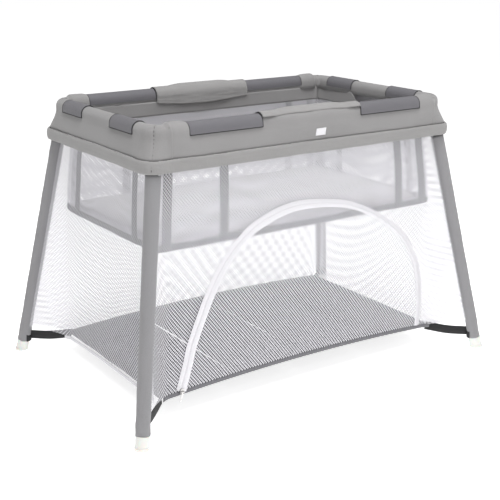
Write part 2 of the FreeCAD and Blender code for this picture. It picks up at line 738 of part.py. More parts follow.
# The zip door's arch in the front netting, as points (x, z) of its middle line.
DOOR_FOOT = (-380, 66)
DOOR_RISE = (-340, 194)
DOOR_ARCH = (
    DOOR_RISE,
    (-274, 331),
    (-207, 411),
    (-138, 453),
    (-42, 477),
    (74, 469),
    (155, 448),
    (238, 407),
    (316, 349),
    (360, 290),
    (384, 235),
    (396, 150),
    (393, 66),
)


def make_door_tape():
    outer_y = -dim("door_tape_y") - dim("door_tape_thickness") / 2
    rise = Part.LineSegment(
        Vector(DOOR_FOOT[0], outer_y, DOOR_FOOT[1]), Vector(DOOR_RISE[0], outer_y, DOOR_RISE[1])
    )
    first_way = Vector(DOOR_RISE[0] - DOOR_FOOT[0], 0, DOOR_RISE[1] - DOOR_FOOT[1]).normalize()
    arch = Part.BSplineCurve()
    arch.interpolate(
        Points=[Vector(x, outer_y, z) for x, z in DOOR_ARCH],
        InitialTangent=first_way,
        FinalTangent=Vector(0, 0, -1),
    )
    path = Part.Wire([rise.toShape(), arch.toShape()])
    half_width, half_thickness = dim("door_tape_width") / 2, dim("door_tape_thickness") / 2
    start = Vector(DOOR_FOOT[0], outer_y, DOOR_FOOT[1])
    across = first_way.cross(Vector(0, 1, 0)) * half_width
    deep = Vector(0, half_thickness, 0)
    corners = [start + across + deep, start - across + deep, start - across - deep, start + across - deep]
    sweep = Part.BRepOffsetAPI.MakePipeShell(path)
    sweep.setBiNormalMode(Vector(0, 1, 0))
    sweep.add(Part.makePolygon(corners + corners[:1]))
    sweep.build()
    sweep.makeSolid()
    cloth("door_zip_tape", sweep.shape())


def slider_place():
    """The slider stands on the foot of the door's straight rise, turned along it."""
    way = Vector(DOOR_RISE[0] - DOOR_FOOT[0], 0, DOOR_RISE[1] - DOOR_FOOT[1])
    face_y = -dim("door_tape_y") - dim("door_tape_thickness") - dim("slider_gap")
    return at(DOOR_FOOT[0], face_y, DOOR_FOOT[1], Rotation(UP, way))


def make_slider():
    """The slider's plate and two lugs with a cross pin, and the pull tab that hangs from it."""
    base = slider_place()
    plate_y = -dim("slider_plate") / 2
    plate = box(
        base.multiply(at(0, plate_y, -dim("slider_height") / 2)),
        "slider_width",
        "slider_plate",
        "slider_height",
    )
    lug_x = (dim("slider_width") - dim("slider_lug_width")) / 2
    lug_y = -dim("slider_plate") - (dim("slider_lug_reach") - dim("slider_lug_root")) / 2
    lugs = [
        box(
            base.multiply(at(side * lug_x, lug_y, -dim("slider_lug_height") / 2)),
            "slider_lug_width",
            "slider_lug_reach + slider_lug_root",
            "slider_lug_height",
        )
        for side in (-1, 1)
    ]
    pin_y = -dim("slider_plate") - dim("slider_pin_reach")
    cross_pin = cylinder(
        base.multiply(at(-dim("slider_width") / 2, pin_y, 0, ALONG_X)), "slider_pin_radius", "slider_width"
    )
    keep(fuse(plate, *lugs, cross_pin), "zip_slider")
    eye_start = base.multiply(at(-dim("pull_width") / 2, pin_y, 0, ALONG_X))
    eye = cylinder(eye_start, "pull_eye_radius", "pull_width")
    tab = box(
        base.multiply(at(0, pin_y, -dim("pull_length"))), "pull_width", "pull_thickness", "pull_length"
    )
    hole = cylinder(
        base.multiply(at(-dim("pull_width"), pin_y, 0, ALONG_X)),
        "slider_pin_radius + pull_clearance",
        "pull_width * 2",
    )
    keep(cut(fuse(eye, tab), hole), "zip_pull")


def make_bassinet():
    low, height = dim("bassinet_bottom"), "bassinet_top - bassinet_bottom"
    wall = dim("bassinet_wall")
    for side in (FRONT, BACK):
        middle = at(0, side * (dim("bassinet_half_width") - wall / 2), low)
        long_wall = box(middle, "( bassinet_half_length - bassinet_corner_gap ) * 2", "bassinet_wall", height)
        keep(long_wall, f"bassinet_wall_{SIDE_NAMES[side]}")
    for end in (LEFT, RIGHT):
        middle = at(end * (dim("bassinet_half_length") - wall / 2), 0, low)
        end_wall = box(middle, "bassinet_wall", "bassinet_end_half_width * 2", height)
        keep(end_wall, f"bassinet_wall_{END_NAMES[end]}")
    floor = box(
        at(0, 0, low),
        "( bassinet_half_length - bassinet_floor_gap ) * 2",
        "( bassinet_half_width - bassinet_floor_gap ) * 2",
        "bassinet_floor",
    )
    keep(floor, "bassinet_floor")


def make_mattress():
    """Four padded panels in a row, folded like a book when the yard is packed."""
    step = dim("mattress_panel") + dim("mattress_gap")
    low = dim("bassinet_bottom") + dim("bassinet_floor") + dim("mattress_rest_gap")
    panels = [
        box(at((number - 1.5) * step, 0, low), "mattress_panel", "mattress_width", "mattress_thickness")
        for number in range(4)
    ]
    row = doc.addObject("Part::Compound", "Panels")
    row.Links = panels
    keep(row, "mattress")


for end in (LEFT, RIGHT):
    for side in (FRONT, BACK):
        corner_name = f"{SIDE_NAMES[side]}_{END_NAMES[end]}"
        make_foot(end, side, corner_name)
        make_leg(end, side, corner_name)
        make_corner(end, side, corner_name)
        make_long_rail(end, side, corner_name)
        make_lock_housing(end, side, corner_name)
        make_rail_cover(end, side, corner_name)
        make_long_clip(end, side, corner_name)
    make_short_rail(end)
    make_corner_pins(end)
    make_leg_sleeves(end)
    make_end_clips(end)
for side in (FRONT, BACK):
    make_lock_button(side)
    make_centre_pin(side)
make_skirts()
make_nets()
make_floor()
make_door_tape()
make_slider()
make_bassinet()
make_mattress()
doc.recompute()

for feature in doc.Objects:
    if {"Invalid", "Error"} & set(feature.State):
        raise RuntimeError(f"{feature.Label} did not build: {feature.State}")
for label, feature in subparts.items():
    if feature.Shape.isNull() or not feature.Shape.isValid() or not feature.Shape.Solids:
        raise RuntimeError(f"{label} has no sound shape")

os.makedirs("parts", exist_ok=True)
for old in os.listdir("parts"):
    if old.endswith(".step") and old[:-5] not in subparts:
        os.remove(os.path.join("parts", old))
for label, feature in subparts.items():
    feature.Shape.exportStep(f"parts/{label}.step")
print(len(subparts), "sub-parts")
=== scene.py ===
"""Travel play yard with a clip-on bassinet: cloth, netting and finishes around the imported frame."""

import math

import bmesh
import bpy
from mathutils import Matrix, Vector, noise


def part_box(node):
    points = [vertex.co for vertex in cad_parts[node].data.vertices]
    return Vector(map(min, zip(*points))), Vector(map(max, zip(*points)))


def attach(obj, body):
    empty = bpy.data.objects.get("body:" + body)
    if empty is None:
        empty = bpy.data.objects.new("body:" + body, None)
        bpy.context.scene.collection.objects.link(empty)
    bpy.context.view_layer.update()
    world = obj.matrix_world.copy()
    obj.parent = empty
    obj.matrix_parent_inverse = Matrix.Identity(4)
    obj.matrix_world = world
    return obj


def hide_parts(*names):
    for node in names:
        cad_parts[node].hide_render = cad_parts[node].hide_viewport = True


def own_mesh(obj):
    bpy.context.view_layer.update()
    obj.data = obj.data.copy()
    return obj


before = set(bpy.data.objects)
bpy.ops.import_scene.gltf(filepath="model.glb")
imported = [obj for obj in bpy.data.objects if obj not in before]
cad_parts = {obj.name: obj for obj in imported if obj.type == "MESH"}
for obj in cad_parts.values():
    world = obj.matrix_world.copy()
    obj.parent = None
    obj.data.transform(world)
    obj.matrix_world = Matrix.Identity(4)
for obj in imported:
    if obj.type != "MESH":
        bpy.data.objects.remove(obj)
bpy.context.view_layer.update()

bl_info = {
    "name": "Travel Play Yard",
    "version": (1, 0, 0),
    "blender": (4, 5, 0),
    "location": "View3D > Sidebar > Play Yard",
    "description": "Builds the play yard's cloth, netting, trim and finishes on its packed frame",
    "category": "Add Mesh",
}

SIDES = {"front": -1, "back": 1}
ENDS = {"left": -1, "right": 1}
UP = Vector((0, 0, 1))


# ---------------------------------------------------------------- places read from the frame


def middle(node):
    low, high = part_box(node)
    return (low + high) / 2


RAIL_X = middle("short_rail_right").x
RAIL_Y = middle("back_right_rail").y
RAIL_Z = middle("short_rail_right").z
BEND = RAIL_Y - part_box("short_rail_right")[1].y
COVER_RADIUS = (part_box("back_right_rail_cover")[1].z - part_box("back_right_rail_cover")[0].z) / 2
BAND_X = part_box("skirt_right")[1].x
BAND_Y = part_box("skirt_back")[1].y
SPLIT_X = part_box("skirt_right")[0].x
TUBE_RADIUS = 0.011
LEG_LOW, LEG_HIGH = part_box("leg_back_right")
LEG_TOP = Vector((LEG_LOW.x + TUBE_RADIUS, LEG_LOW.y + TUBE_RADIUS, LEG_HIGH.z - 0.0026))
LEG_BOTTOM = Vector((LEG_HIGH.x - TUBE_RADIUS, LEG_HIGH.y - TUBE_RADIUS, LEG_LOW.z + 0.0026))
SLEEVE_LOW, SLEEVE_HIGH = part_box("leg_sleeves_right")[0].z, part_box("leg_sleeves_right")[1].z
FLOOR_LOW, FLOOR_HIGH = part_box("floor_panel")
BASSINET_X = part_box("bassinet_wall_right")[1].x
BASSINET_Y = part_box("bassinet_wall_back")[1].y
BASSINET_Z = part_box("bassinet_floor")[0].z


def leg_point(x_sign, y_sign, z):
    """The point of a leg's axis at height z."""
    share = (z - LEG_BOTTOM.z) / (LEG_TOP.z - LEG_BOTTOM.z)
    point = LEG_BOTTOM.lerp(LEG_TOP, share)
    return Vector((x_sign * point.x, y_sign * point.y, z))


def ease(value):
    value = min(1.0, max(0.0, value))
    return value * value * (3 - 2 * value)


def mix(a, b, share):
    return a + (b - a) * share


def arc(radius, degrees):
    """Points on a circle about the origin, at the given angles."""
    return [(radius * math.cos(math.radians(a)), radius * math.sin(math.radians(a))) for a in degrees]


def ring(radius, sides=8):
    """A round section's points."""
    turns = [math.tau * n / sides for n in range(sides)]
    return [(radius * math.cos(turn), radius * math.sin(turn)) for turn in turns]


def run_length(points):
    """The length of the line through points."""
    return sum((b - a).length for a, b in zip(points, points[1:]))


def ripple(point, size, depth, seed=0.0):
    """A soft uneven offset that is the same for neighbouring pieces."""
    return noise.noise(Vector((point.x / size, point.y / size, point.z / size + seed))) * depth


# ---------------------------------------------------------------- sizes and colours


def length_prop(name, description, default):
    return bpy.props.FloatProperty(
        name=name, description=description, default=default, min=0.0, unit="LENGTH", precision=4
    )


def colour_prop(name, description, default):
    return bpy.props.FloatVectorProperty(
        name=name, description=description, default=default, size=3, min=0.0, max=1.0, subtype="COLOR"
    )


class YardSizes(bpy.types.PropertyGroup):
    band_height: length_prop("Band height", "Height of the padded band under the rim", 0.030)
    cloth_wave: length_prop("Cloth wave", "Depth of the soft waves in the rim's cloth", 0.0022)
    hinge_bulge: length_prop("Hinge bulge", "How far the cloth stands over a centre hinge", 0.0092)
    corner_bulge: length_prop("Corner bulge", "How far the cloth stands over a corner pivot", 0.0058)
    corner_flare: length_prop("Corner flare", "How far the band stands out at the corners", 0.012)
    net_pitch: length_prop("Netting pitch", "Distance from hole to hole in the netting", 0.0080)
    hem_height: length_prop("Hem height", "Height of the strip along the floor's long edges", 0.0105)
    hem_arch: length_prop("Hem arch", "Rise of the long hem at its middle", 0.014)
    tape_width: length_prop("Zip tape width", "Width of the side door's zip tape at its left", 0.029)
    strap_width: length_prop("Strap width", "Width of the webbing at the feet and on the bassinet", 0.025)
    floor_crown: length_prop("Floor crown", "How far the padded floor swells between its seams", 0.004)


class YardColours(bpy.types.PropertyGroup):
    rim: colour_prop("Rim cloth", "Grey cloth of the rim and skirt", (0.256, 0.251, 0.251))
    band: colour_prop("Band cloth", "Padded band under the rim", (0.268, 0.263, 0.261))
    clip: colour_prop("Clip cover", "Cloth on the bassinet's clips", (0.134, 0.131, 0.143))
    sleeve: colour_prop("Leg sleeve", "Cloth on the legs", (0.252, 0.249, 0.257))
    hem: colour_prop("Hem", "Strip along the floor's edge", (0.155, 0.153, 0.165))
    netting: colour_prop("Netting", "White knitted netting", (0.77, 0.76, 0.80))
    tape: colour_prop("Zip tape", "Tape of the side door's zip", (0.76, 0.75, 0.78))
    floor: colour_prop("Floor cloth", "Padded floor of the yard", (0.060, 0.060, 0.064))
    webbing: colour_prop("Webbing", "Straps at the feet", (0.012, 0.012, 0.013))
    mattress: colour_prop("Mattress cloth", "Padded mattress of the bassinet", (0.36, 0.355, 0.352))
    foot: colour_prop("Foot caps", "Frosted plastic of the feet", (0.74, 0.74, 0.71))
    tube: colour_prop("Tubes", "Powder coat of the frame tubes", (0.060, 0.060, 0.063))
    moulding: colour_prop("Mouldings", "Plastic of the brackets and hinges", (0.030, 0.030, 0.032))
    metal: colour_prop("Metal", "Plated pins, slider and pull", (0.62, 0.61, 0.60))


# ---------------------------------------------------------------- shader groups and materials


def calculate(tree, operation, *values):
    """A Math node whose inputs are numbers or sockets; returns its output."""
    node = tree.nodes.new("ShaderNodeMath")
    node.operation = operation
    for number, value in enumerate(values):
        if isinstance(value, (int, float)):
            node.inputs[number].default_value = value
        else:
            tree.links.new(value, node.inputs[number])
    return node.outputs[0]


def new_group(name, inputs, outputs):
    """An empty shader node group with named sockets; returns the tree, its input and output nodes."""
    tree = bpy.data.node_groups.new(name, "ShaderNodeTree")
    for label, kind, default in inputs:
        socket = tree.interface.new_socket(label, in_out="INPUT", socket_type=kind)
        if default is not None:
            socket.default_value = default
    for label, kind in outputs:
        tree.interface.new_socket(label, in_out="OUTPUT", socket_type=kind)
    return tree, tree.nodes.new("NodeGroupInput"), tree.nodes.new("NodeGroupOutput")


def noise_value(tree, vector, scale, detail):
    node = tree.nodes.new("ShaderNodeTexNoise")
    node.inputs["Scale"].default_value = scale
    node.inputs["Detail"].default_value = detail
    tree.links.new(vector, node.inputs["Vector"])
    return node.outputs["Fac"]


def waves(tree, vector, pitch):
    """Cosines along the vector's X and Y with the given pitch."""
    parts = tree.nodes.new("ShaderNodeSeparateXYZ")
    tree.links.new(vector, parts.inputs[0])
    turns = calculate(tree, "DIVIDE", math.tau, pitch)
    return [
        calculate(tree, "COSINE", calculate(tree, "MULTIPLY", parts.outputs[axis], turns))
        for axis in ("X", "Y")
    ]


def soft_step(tree, value, low, high):
    node = tree.nodes.new("ShaderNodeMapRange")
    node.interpolation_type = "SMOOTHSTEP"
    node.inputs["From Min"].default_value = low
    node.inputs["From Max"].default_value = high
    tree.links.new(value, node.inputs["Value"])
    return node.outputs["Result"]


def weave_group():
    """A plain weave with slubs and a slow mottle: Shade lightens and darkens, Height lifts the threads."""
    tree, entry, out = new_group(
        "plain_weave",
        (
            ("Vector", "NodeSocketVector", None),
            ("Pitch", "NodeSocketFloat", 0.0011),
            ("Mottle", "NodeSocketFloat", 0.14),
        ),
        (("Shade", "NodeSocketFloat"), ("Height", "NodeSocketFloat")),
    )
    vector, pitch = entry.outputs["Vector"], entry.outputs["Pitch"]
    warp, weft = waves(tree, vector, pitch)
    threads = calculate(tree, "MULTIPLY", warp, weft)
    slow = calculate(tree, "SUBTRACT", noise_value(tree, vector, 9.0, 4.0), 0.5)
    fine = calculate(tree, "SUBTRACT", noise_value(tree, vector, 420.0, 2.0), 0.5)
    mottle = calculate(tree, "MULTIPLY", slow, entry.outputs["Mottle"])
    slub = calculate(tree, "MULTIPLY", fine, 0.22)
    depth = calculate(tree, "MULTIPLY", threads, 0.05)
    shade = calculate(tree, "ADD", 1.0, calculate(tree, "ADD", mottle, calculate(tree, "ADD", slub, depth)))
    tree.links.new(shade, out.inputs["Shade"])
    height = calculate(tree, "ADD", calculate(tree, "MULTIPLY", threads, 0.5), fine)
    tree.links.new(height, out.inputs["Height"])
    return tree


def netting_group():
    """Knitted netting: rows of round holes, each row half a pitch along, between loose strands."""
    tree, entry, out = new_group(
        "round_hole_netting",
        (("Vector", "NodeSocketVector", None), ("Pitch", "NodeSocketFloat", 0.0066)),
        (("Alpha", "NodeSocketFloat"), ("Shade", "NodeSocketFloat"), ("Height", "NodeSocketFloat")),
    )
    vector = entry.outputs["Vector"]
    warp, weft = waves(tree, vector, entry.outputs["Pitch"])
    lattice = calculate(tree, "MULTIPLY", warp, weft)
    hole = soft_step(tree, lattice, -0.01, 0.08)
    alpha = calculate(tree, "MULTIPLY", calculate(tree, "SUBTRACT", 1.0, hole), 0.86)
    rim = soft_step(tree, lattice, -0.35, 0.20)
    shade = calculate(tree, "SUBTRACT", 1.0, calculate(tree, "MULTIPLY", rim, 0.10))
    tree.links.new(alpha, out.inputs["Alpha"])
    tree.links.new(shade, out.inputs["Shade"])
    tree.links.new(calculate(tree, "MULTIPLY", lattice, -1.0), out.inputs["Height"])
    return tree


def moulded_group():
    """Moulded plastic or coated metal: a fine grain, slow blotches and rubbed patches."""
    tree, entry, out = new_group(
        "moulded_grain",
        (
            ("Vector", "NodeSocketVector", None),
            ("Grain", "NodeSocketFloat", 900.0),
            ("Rub", "NodeSocketFloat", 0.12),
        ),
        (("Shade", "NodeSocketFloat"), ("Roughness", "NodeSocketFloat"), ("Height", "NodeSocketFloat")),
    )
    vector = entry.outputs["Vector"]
    grain = tree.nodes.new("ShaderNodeTexNoise")
    tree.links.new(vector, grain.inputs["Vector"])
    tree.links.new(entry.outputs["Grain"], grain.inputs["Scale"])
    slow = calculate(tree, "SUBTRACT", noise_value(tree, vector, 24.0, 5.0), 0.5)
    rubbed = soft_step(tree, noise_value(tree, vector, 60.0, 6.0), 0.56, 0.70)
    rub = calculate(tree, "MULTIPLY", rubbed, entry.outputs["Rub"])
    shade = calculate(tree, "ADD", calculate(tree, "ADD", 1.0, calculate(tree, "MULTIPLY", slow, 0.18)), rub)
    tree.links.new(shade, out.inputs["Shade"])
    roughness = calculate(tree, "ADD", 0.46, calculate(tree, "MULTIPLY", slow, 0.30))
    tree.links.new(calculate(tree, "SUBTRACT", roughness, rub), out.inputs["Roughness"])
    tree.links.new(grain.outputs["Fac"], out.inputs["Height"])
    return tree


def ribbed_group():
    """Narrow woven webbing: ribs across its length with a chevron of threads."""
    tree, entry, out = new_group(
        "ribbed_webbing",
        (("Vector", "NodeSocketVector", None), ("Pitch", "NodeSocketFloat", 0.0018)),
        (("Shade", "NodeSocketFloat"), ("Height", "NodeSocketFloat")),
    )
    vector = entry.outputs["Vector"]
    warp, weft = waves(tree, vector, entry.outputs["Pitch"])
    ribs = calculate(tree, "ADD", warp, calculate(tree, "MULTIPLY", weft, 0.4))
    fine = calculate(tree, "SUBTRACT", noise_value(tree, vector, 700.0, 2.0), 0.5)
    shade = calculate(tree, "ADD", 1.0, calculate(tree, "MULTIPLY", ribs, 0.10))
    shade = calculate(tree, "ADD", shade, calculate(tree, "MULTIPLY", fine, 0.3))
    tree.links.new(shade, out.inputs["Shade"])
    tree.links.new(calculate(tree, "ADD", ribs, fine), out.inputs["Height"])
    return tree


GROUPS = {}


def group_tree(name):
    makers = {
        "plain_weave": weave_group,
        "round_hole_netting": netting_group,
        "moulded_grain": moulded_group,
        "ribbed_webbing": ribbed_group,
    }
    if name not in GROUPS:
        GROUPS[name] = makers[name]()
    return GROUPS[name]


def finish_material(name, colour, group, coordinates, bump, roughness=None, values=(), shader_values=()):
    """A Principled material whose shade, roughness, alpha and bump come from a pattern group."""
    material = bpy.data.materials.get(name)
    if material:
        return material
    material = bpy.data.materials.new(name)
    material.use_nodes = True
    tree = material.node_tree
    shader = tree.nodes["Principled BSDF"]
    if roughness is not None:
        shader.inputs["Roughness"].default_value = roughness
    for label, value in shader_values:
        shader.inputs[label].default_value = value
    place = tree.nodes.new("ShaderNodeTexCoord")
    pattern = tree.nodes.new("ShaderNodeGroup")
    pattern.node_tree = group_tree(group)
    for label, value in values:
        pattern.inputs[label].default_value = value
    tree.links.new(place.outputs[coordinates], pattern.inputs["Vector"])
    tint = tree.nodes.new("ShaderNodeVectorMath")
    tint.operation = "SCALE"
    tint.inputs[0].default_value = colour
    tree.links.new(pattern.outputs["Shade"], tint.inputs["Scale"])
    tree.links.new(tint.outputs[0], shader.inputs["Base Color"])
    for label in ("Roughness", "Alpha"):
        if label in pattern.outputs:
            tree.links.new(pattern.outputs[label], shader.inputs[label])
    relief = tree.nodes.new("ShaderNodeBump")
    relief.inputs["Distance"].default_value = bump
    relief.inputs["Strength"].default_value = 0.6
    tree.links.new(pattern.outputs["Height"], relief.inputs["Height"])
    tree.links.new(relief.outputs[0], shader.inputs["Normal"])
    return material


def woven(name, colour, pitch=0.0011, roughness=0.82, mottle=0.14, sheen=0.25, bump=0.0003):
    return finish_material(
        name,
        colour,
        "plain_weave",
        "UV",
        bump,
        roughness,
        (("Pitch", pitch), ("Mottle", mottle)),
        (("Sheen Weight", sheen), ("Sheen Roughness", 0.5), ("Specular IOR Level", 0.3)),
    )


def rim_cloth(colours):
    return woven("rim_cloth", colours.rim)


def band_cloth(colours):
    return woven("band_cloth", colours.band, mottle=0.18)


def clip_cloth(colours):
    return woven("clip_cloth", colours.clip, roughness=0.62, sheen=0.15, mottle=0.08)


def sleeve_cloth(colours):
    return woven("sleeve_cloth", colours.sleeve, mottle=0.10)


def hem_cloth(colours):
    return woven("hem_cloth", colours.hem, pitch=0.0009, mottle=0.08)


def floor_cloth(colours):
    return woven("floor_cloth", colours.floor, pitch=0.0013, mottle=0.20)


def mattress_cloth(colours):
    return woven("mattress_cloth", colours.mattress, pitch=0.0012, mottle=0.12, sheen=0.35)


def netting_cloth(colours, sizes):
    return finish_material(
        "netting_cloth",
        colours.netting,
        "round_hole_netting",
        "UV",
        0.0004,
        0.70,
        (("Pitch", sizes.net_pitch),),
        (("Sheen Weight", 0.15), ("Specular IOR Level", 0.3)),
    )


def white_tape(colours):
    return finish_material(
        "white_tape",
        colours.tape,
        "ribbed_webbing",
        "UV",
        0.0002,
        0.68,
        (("Pitch", 0.0014),),
        (("Sheen Weight", 0.2),),
    )


def black_webbing(colours):
    return finish_material("black_webbing", colours.webbing, "ribbed_webbing", "UV", 0.0004, 0.7)


def thread(colours):
    return finish_material(
        "seam_thread", tuple(c * 0.28 for c in colours.rim), "ribbed_webbing", "UV", 0.0001, 0.8
    )


def coated_tube(colours):
    return finish_material("coated_tube", colours.tube, "moulded_grain", "Object", 0.00005)


def moulded_black(colours):
    return finish_material(
        "moulded_black", colours.moulding, "moulded_grain", "Object", 0.0001, values=(("Grain", 1400.0),)
    )


def frosted_plastic(colours):
    return finish_material(
        "frosted_plastic",
        colours.foot,
        "moulded_grain",
        "Object",
        0.00006,
        values=(("Rub", 0.05),),
        shader_values=(("Subsurface Weight", 0.35), ("Subsurface Scale", 0.006), ("IOR", 1.46)),
    )


def plated_metal(colours):
    return finish_material(
        "plated_metal",
        colours.metal,
        "moulded_grain",
        "Object",
        0.00003,
        values=(("Grain", 2600.0),),
        shader_values=(("Metallic", 1.0),),
    )


# ---------------------------------------------------------------- mesh tools


def placement(origin, along, up):
    """A frame whose Z runs along, whose Y is close to up and whose X is to its side."""
    z = Vector(along).normalized()
    x = Vector(up).cross(z).normalized()
    y = z.cross(x)
    matrix = Matrix((x, y, z)).transposed().to_4x4()
    matrix.translation = origin
    return matrix


def sweep(bm, profile, frames, closed=False, capped=False):
    """Carry a profile (points in each frame's XY plane) through the frames, extruding as it goes."""
    along = bm.verts.layers.float.get("along") or bm.verts.layers.float.new("along")
    across = bm.verts.layers.float.get("across") or bm.verts.layers.float.new("across")
    verts, width = [], 0.0
    for number, (u, v) in enumerate(profile):
        if number:
            width += math.dist(profile[number - 1], (u, v))
        vert = bm.verts.new(frames[0] @ Vector((u, v, 0)))
        vert[across] = width
        verts.append(vert)
    edges = [bm.edges.new(pair) for pair in zip(verts, verts[1:])]
    if closed:
        edges.append(bm.edges.new((verts[-1], verts[0])))
    first, length = edges, 0.0
    for before, after in zip(frames, frames[1:]):
        made = bmesh.ops.extrude_edge_only(bm, edges=edges)["geom"]
        fresh = {item for item in made if isinstance(item, bmesh.types.BMVert)}
        edges = [e for e in made if isinstance(e, bmesh.types.BMEdge) and set(e.verts) <= fresh]
        bmesh.ops.transform(bm, matrix=after @ before.inverted(), verts=list(fresh))
        length += (after.translation - before.translation).length
        for vert in fresh:
            vert[along] = length
    if capped:
        for end in (first, edges):
            bmesh.ops.holes_fill(bm, edges=end)


def unwrap(bm):
    """Lay the swept lengths out as UVs in metres; without them, take the two widest axes."""
    layer = bm.loops.layers.uv.new("UVMap")
    swept = [bm.verts.layers.float.get(name) for name in ("along", "across")]
    if None in swept:
        for face in bm.faces:
            axes = sorted(sorted(range(3), key=lambda axis: abs(face.normal[axis]))[:2])
            for loop in face.loops:
                loop[layer].uv = [loop.vert.co[axis] for axis in axes]
        return
    totals = [max((vert[length] for vert in bm.verts), default=0.0) for length in swept]
    for face in bm.faces:
        reach = [[vert[length] for vert in face.verts] for length in swept]
        wraps = [len(face.verts) == 4 and max(r) - min(r) > total * 0.6 for r, total in zip(reach, totals)]
        for loop in face.loops:
            loop[layer].uv = [
                loop.vert[length] + (total * 1.01 if wrap and loop.vert[length] < total / 2 else 0)
                for length, total, wrap in zip(swept, totals, wraps)
            ]


def make_piece(bm, name, material, outward=True, sharp=None):
    """Turn a bmesh into a named object with one material, smooth shading and UVs."""
    if outward:
        bmesh.ops.recalc_face_normals(bm, faces=bm.faces)
    bm.normal_update()
    unwrap(bm)
    mesh = bpy.data.meshes.new(name)
    bm.to_mesh(mesh)
    bm.free()
    mesh.materials.append(material)
    mesh.shade_smooth()
    if sharp is not None:
        mesh.set_sharp_from_angle(angle=math.radians(sharp))
    piece = bpy.data.objects.new(name, mesh)
    bpy.context.scene.collection.objects.link(piece)
    return piece


def dress(piece, body, slot, *nodes):
    """Ride a finished piece on its body and hide the frame's nodes that it replaces."""
    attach(piece, body)
    if nodes:
        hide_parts(*nodes)


def crumple(piece, slot, *nodes):
    """A piece that spans the long side: it rides on the left end, with a mesh of its own."""
    dress(piece, "left_end", slot, *nodes)
    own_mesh(piece)


def hang(piece, where, slot, *nodes):
    """Put a wall's piece on its own end of the frame, or on the left end when it spans a long side."""
    if where in SIDES:
        crumple(piece, slot, *nodes)
    else:
        dress(piece, f"{where}_end", slot, *nodes)


def slab_profile(width, thickness, rounding=4):
    """A flat strip's closed section with rounded edges, centred on the frame."""
    points = []
    for side in (1, -1):
        for step in range(rounding + 1):
            turn = math.pi * (step / rounding - 0.5)
            points.append(
                (
                    side * (width / 2 - thickness / 2 + math.cos(turn) * thickness / 2),
                    side * math.sin(turn) * thickness / 2,
                )
            )
    return points


def path_frames(points, up=UP):
    """Frames along a row of points, each facing along the mean of its two runs."""
    frames = []
    for number, point in enumerate(points):
        before = points[max(0, number - 1)]
        after = points[min(len(points) - 1, number + 1)]
        frames.append(placement(point, after - before, up))
    return frames


def keep_part(bm, point, normal):
    """Cut a bmesh at a plane and keep the side that the normal points to."""
    everything = bm.verts[:] + bm.edges[:] + bm.faces[:]
    bmesh.ops.bisect_plane(
        bm, geom=everything, plane_co=point, plane_no=-Vector(normal), clear_outer=True
    )


# ---------------------------------------------------------------- rim cloth

STRAIGHT_STEPS = 46
SHORT_STEPS = 26
CORNER_STEPS = 26


def rim_frames():
    """Frames all the way round the rail's axis: X points outwards and Y up."""
    corner_x, corner_y = RAIL_X - BEND, RAIL_Y - BEND
    spots = []
    for step in range(STRAIGHT_STEPS):
        spots.append((Vector((-corner_x + 2 * corner_x * step / STRAIGHT_STEPS, -RAIL_Y, RAIL_Z)), -90))
    corners = (
        (corner_x, -corner_y, -90, (RAIL_X, -corner_y), (0, 1), SHORT_STEPS, 2 * corner_y),
        (corner_x, corner_y, 0, (corner_x, RAIL_Y), (-1, 0), STRAIGHT_STEPS, 2 * corner_x),
        (-corner_x, corner_y, 90, (-RAIL_X, corner_y), (0, -1), SHORT_STEPS, 2 * corner_y),
        (-corner_x, -corner_y, 180, None, None, 0, 0),
    )
    for x, y, start, run_from, way, steps, length in corners:
        for step in range(CORNER_STEPS):
            degrees = start + 90 * step / CORNER_STEPS
            turn = math.radians(degrees)
            spots.append((Vector((x + BEND * math.cos(turn), y + BEND * math.sin(turn), RAIL_Z)), degrees))
        for step in range(steps):
            gone = length * step / steps
            spot = Vector((run_from[0] + way[0] * gone, run_from[1] + way[1] * gone, RAIL_Z))
            spots.append((spot, start + 90))
    frames = []
    for origin, degrees in spots:
        turn = math.radians(degrees)
        outward = Vector((math.cos(turn), math.sin(turn), 0))
        matrix = Matrix((outward, UP, outward.cross(UP))).transposed().to_4x4()
        matrix.translation = origin
        frames.append(matrix)
    return frames


def rim_profile(sizes):
    """The rim cloth's section: up from inside the rail, over it, and down to the flared skirt."""
    radius = COVER_RADIUS + 0.0002
    points = [(-radius * 0.96, -0.019), (-radius, -0.008)]
    points += arc(radius, range(180, -1, -15))
    top, low = (radius + 0.0002, -0.013), (0.0285, sizes.band_height - 0.087)
    points.append((radius, -0.007))
    for step in range(9):
        share = step / 8
        points.append((top[0] + (low[0] - top[0]) * share, top[1] + (low[1] - top[1]) * share))
    return points


def band_profile(sizes):
    """The padded band's closed section, a soft roll under the skirt's edge."""
    centre_u, centre_v = 0.0308, sizes.band_height / 2 - 0.087
    points = []
    for step in range(18):
        turn = math.tau * step / 18
        bulge = 0.0052 if math.cos(turn) > 0 else 0.0026
        points.append(
            (
                centre_u + bulge * math.copysign(abs(math.cos(turn)) ** 0.75, math.cos(turn)),
                centre_v + sizes.band_height / 2 * math.copysign(abs(math.sin(turn)) ** 0.8, math.sin(turn)),
            )
        )
    return points


def outward_of(point):
    """The rim's outward direction in plan at a point."""
    corner_x, corner_y = RAIL_X - BEND, RAIL_Y - BEND
    way = Vector(
        (
            point.x - max(-corner_x, min(corner_x, point.x)),
            point.y - max(-corner_y, min(corner_y, point.y)),
            0,
        )
    )
    return way.normalized() if way.length > 1e-6 else Vector((0, -1, 0))


def hinge_share(x):
    """1 over a centre hinge and 0 past its housings."""
    return 1 - ease((abs(x) - 0.060) / 0.085)


def pivot_share(x):
    """1 over a corner pivot's fork and 0 away from it."""
    return 1 - ease((abs(abs(x) - 0.380) - 0.016) / 0.012)


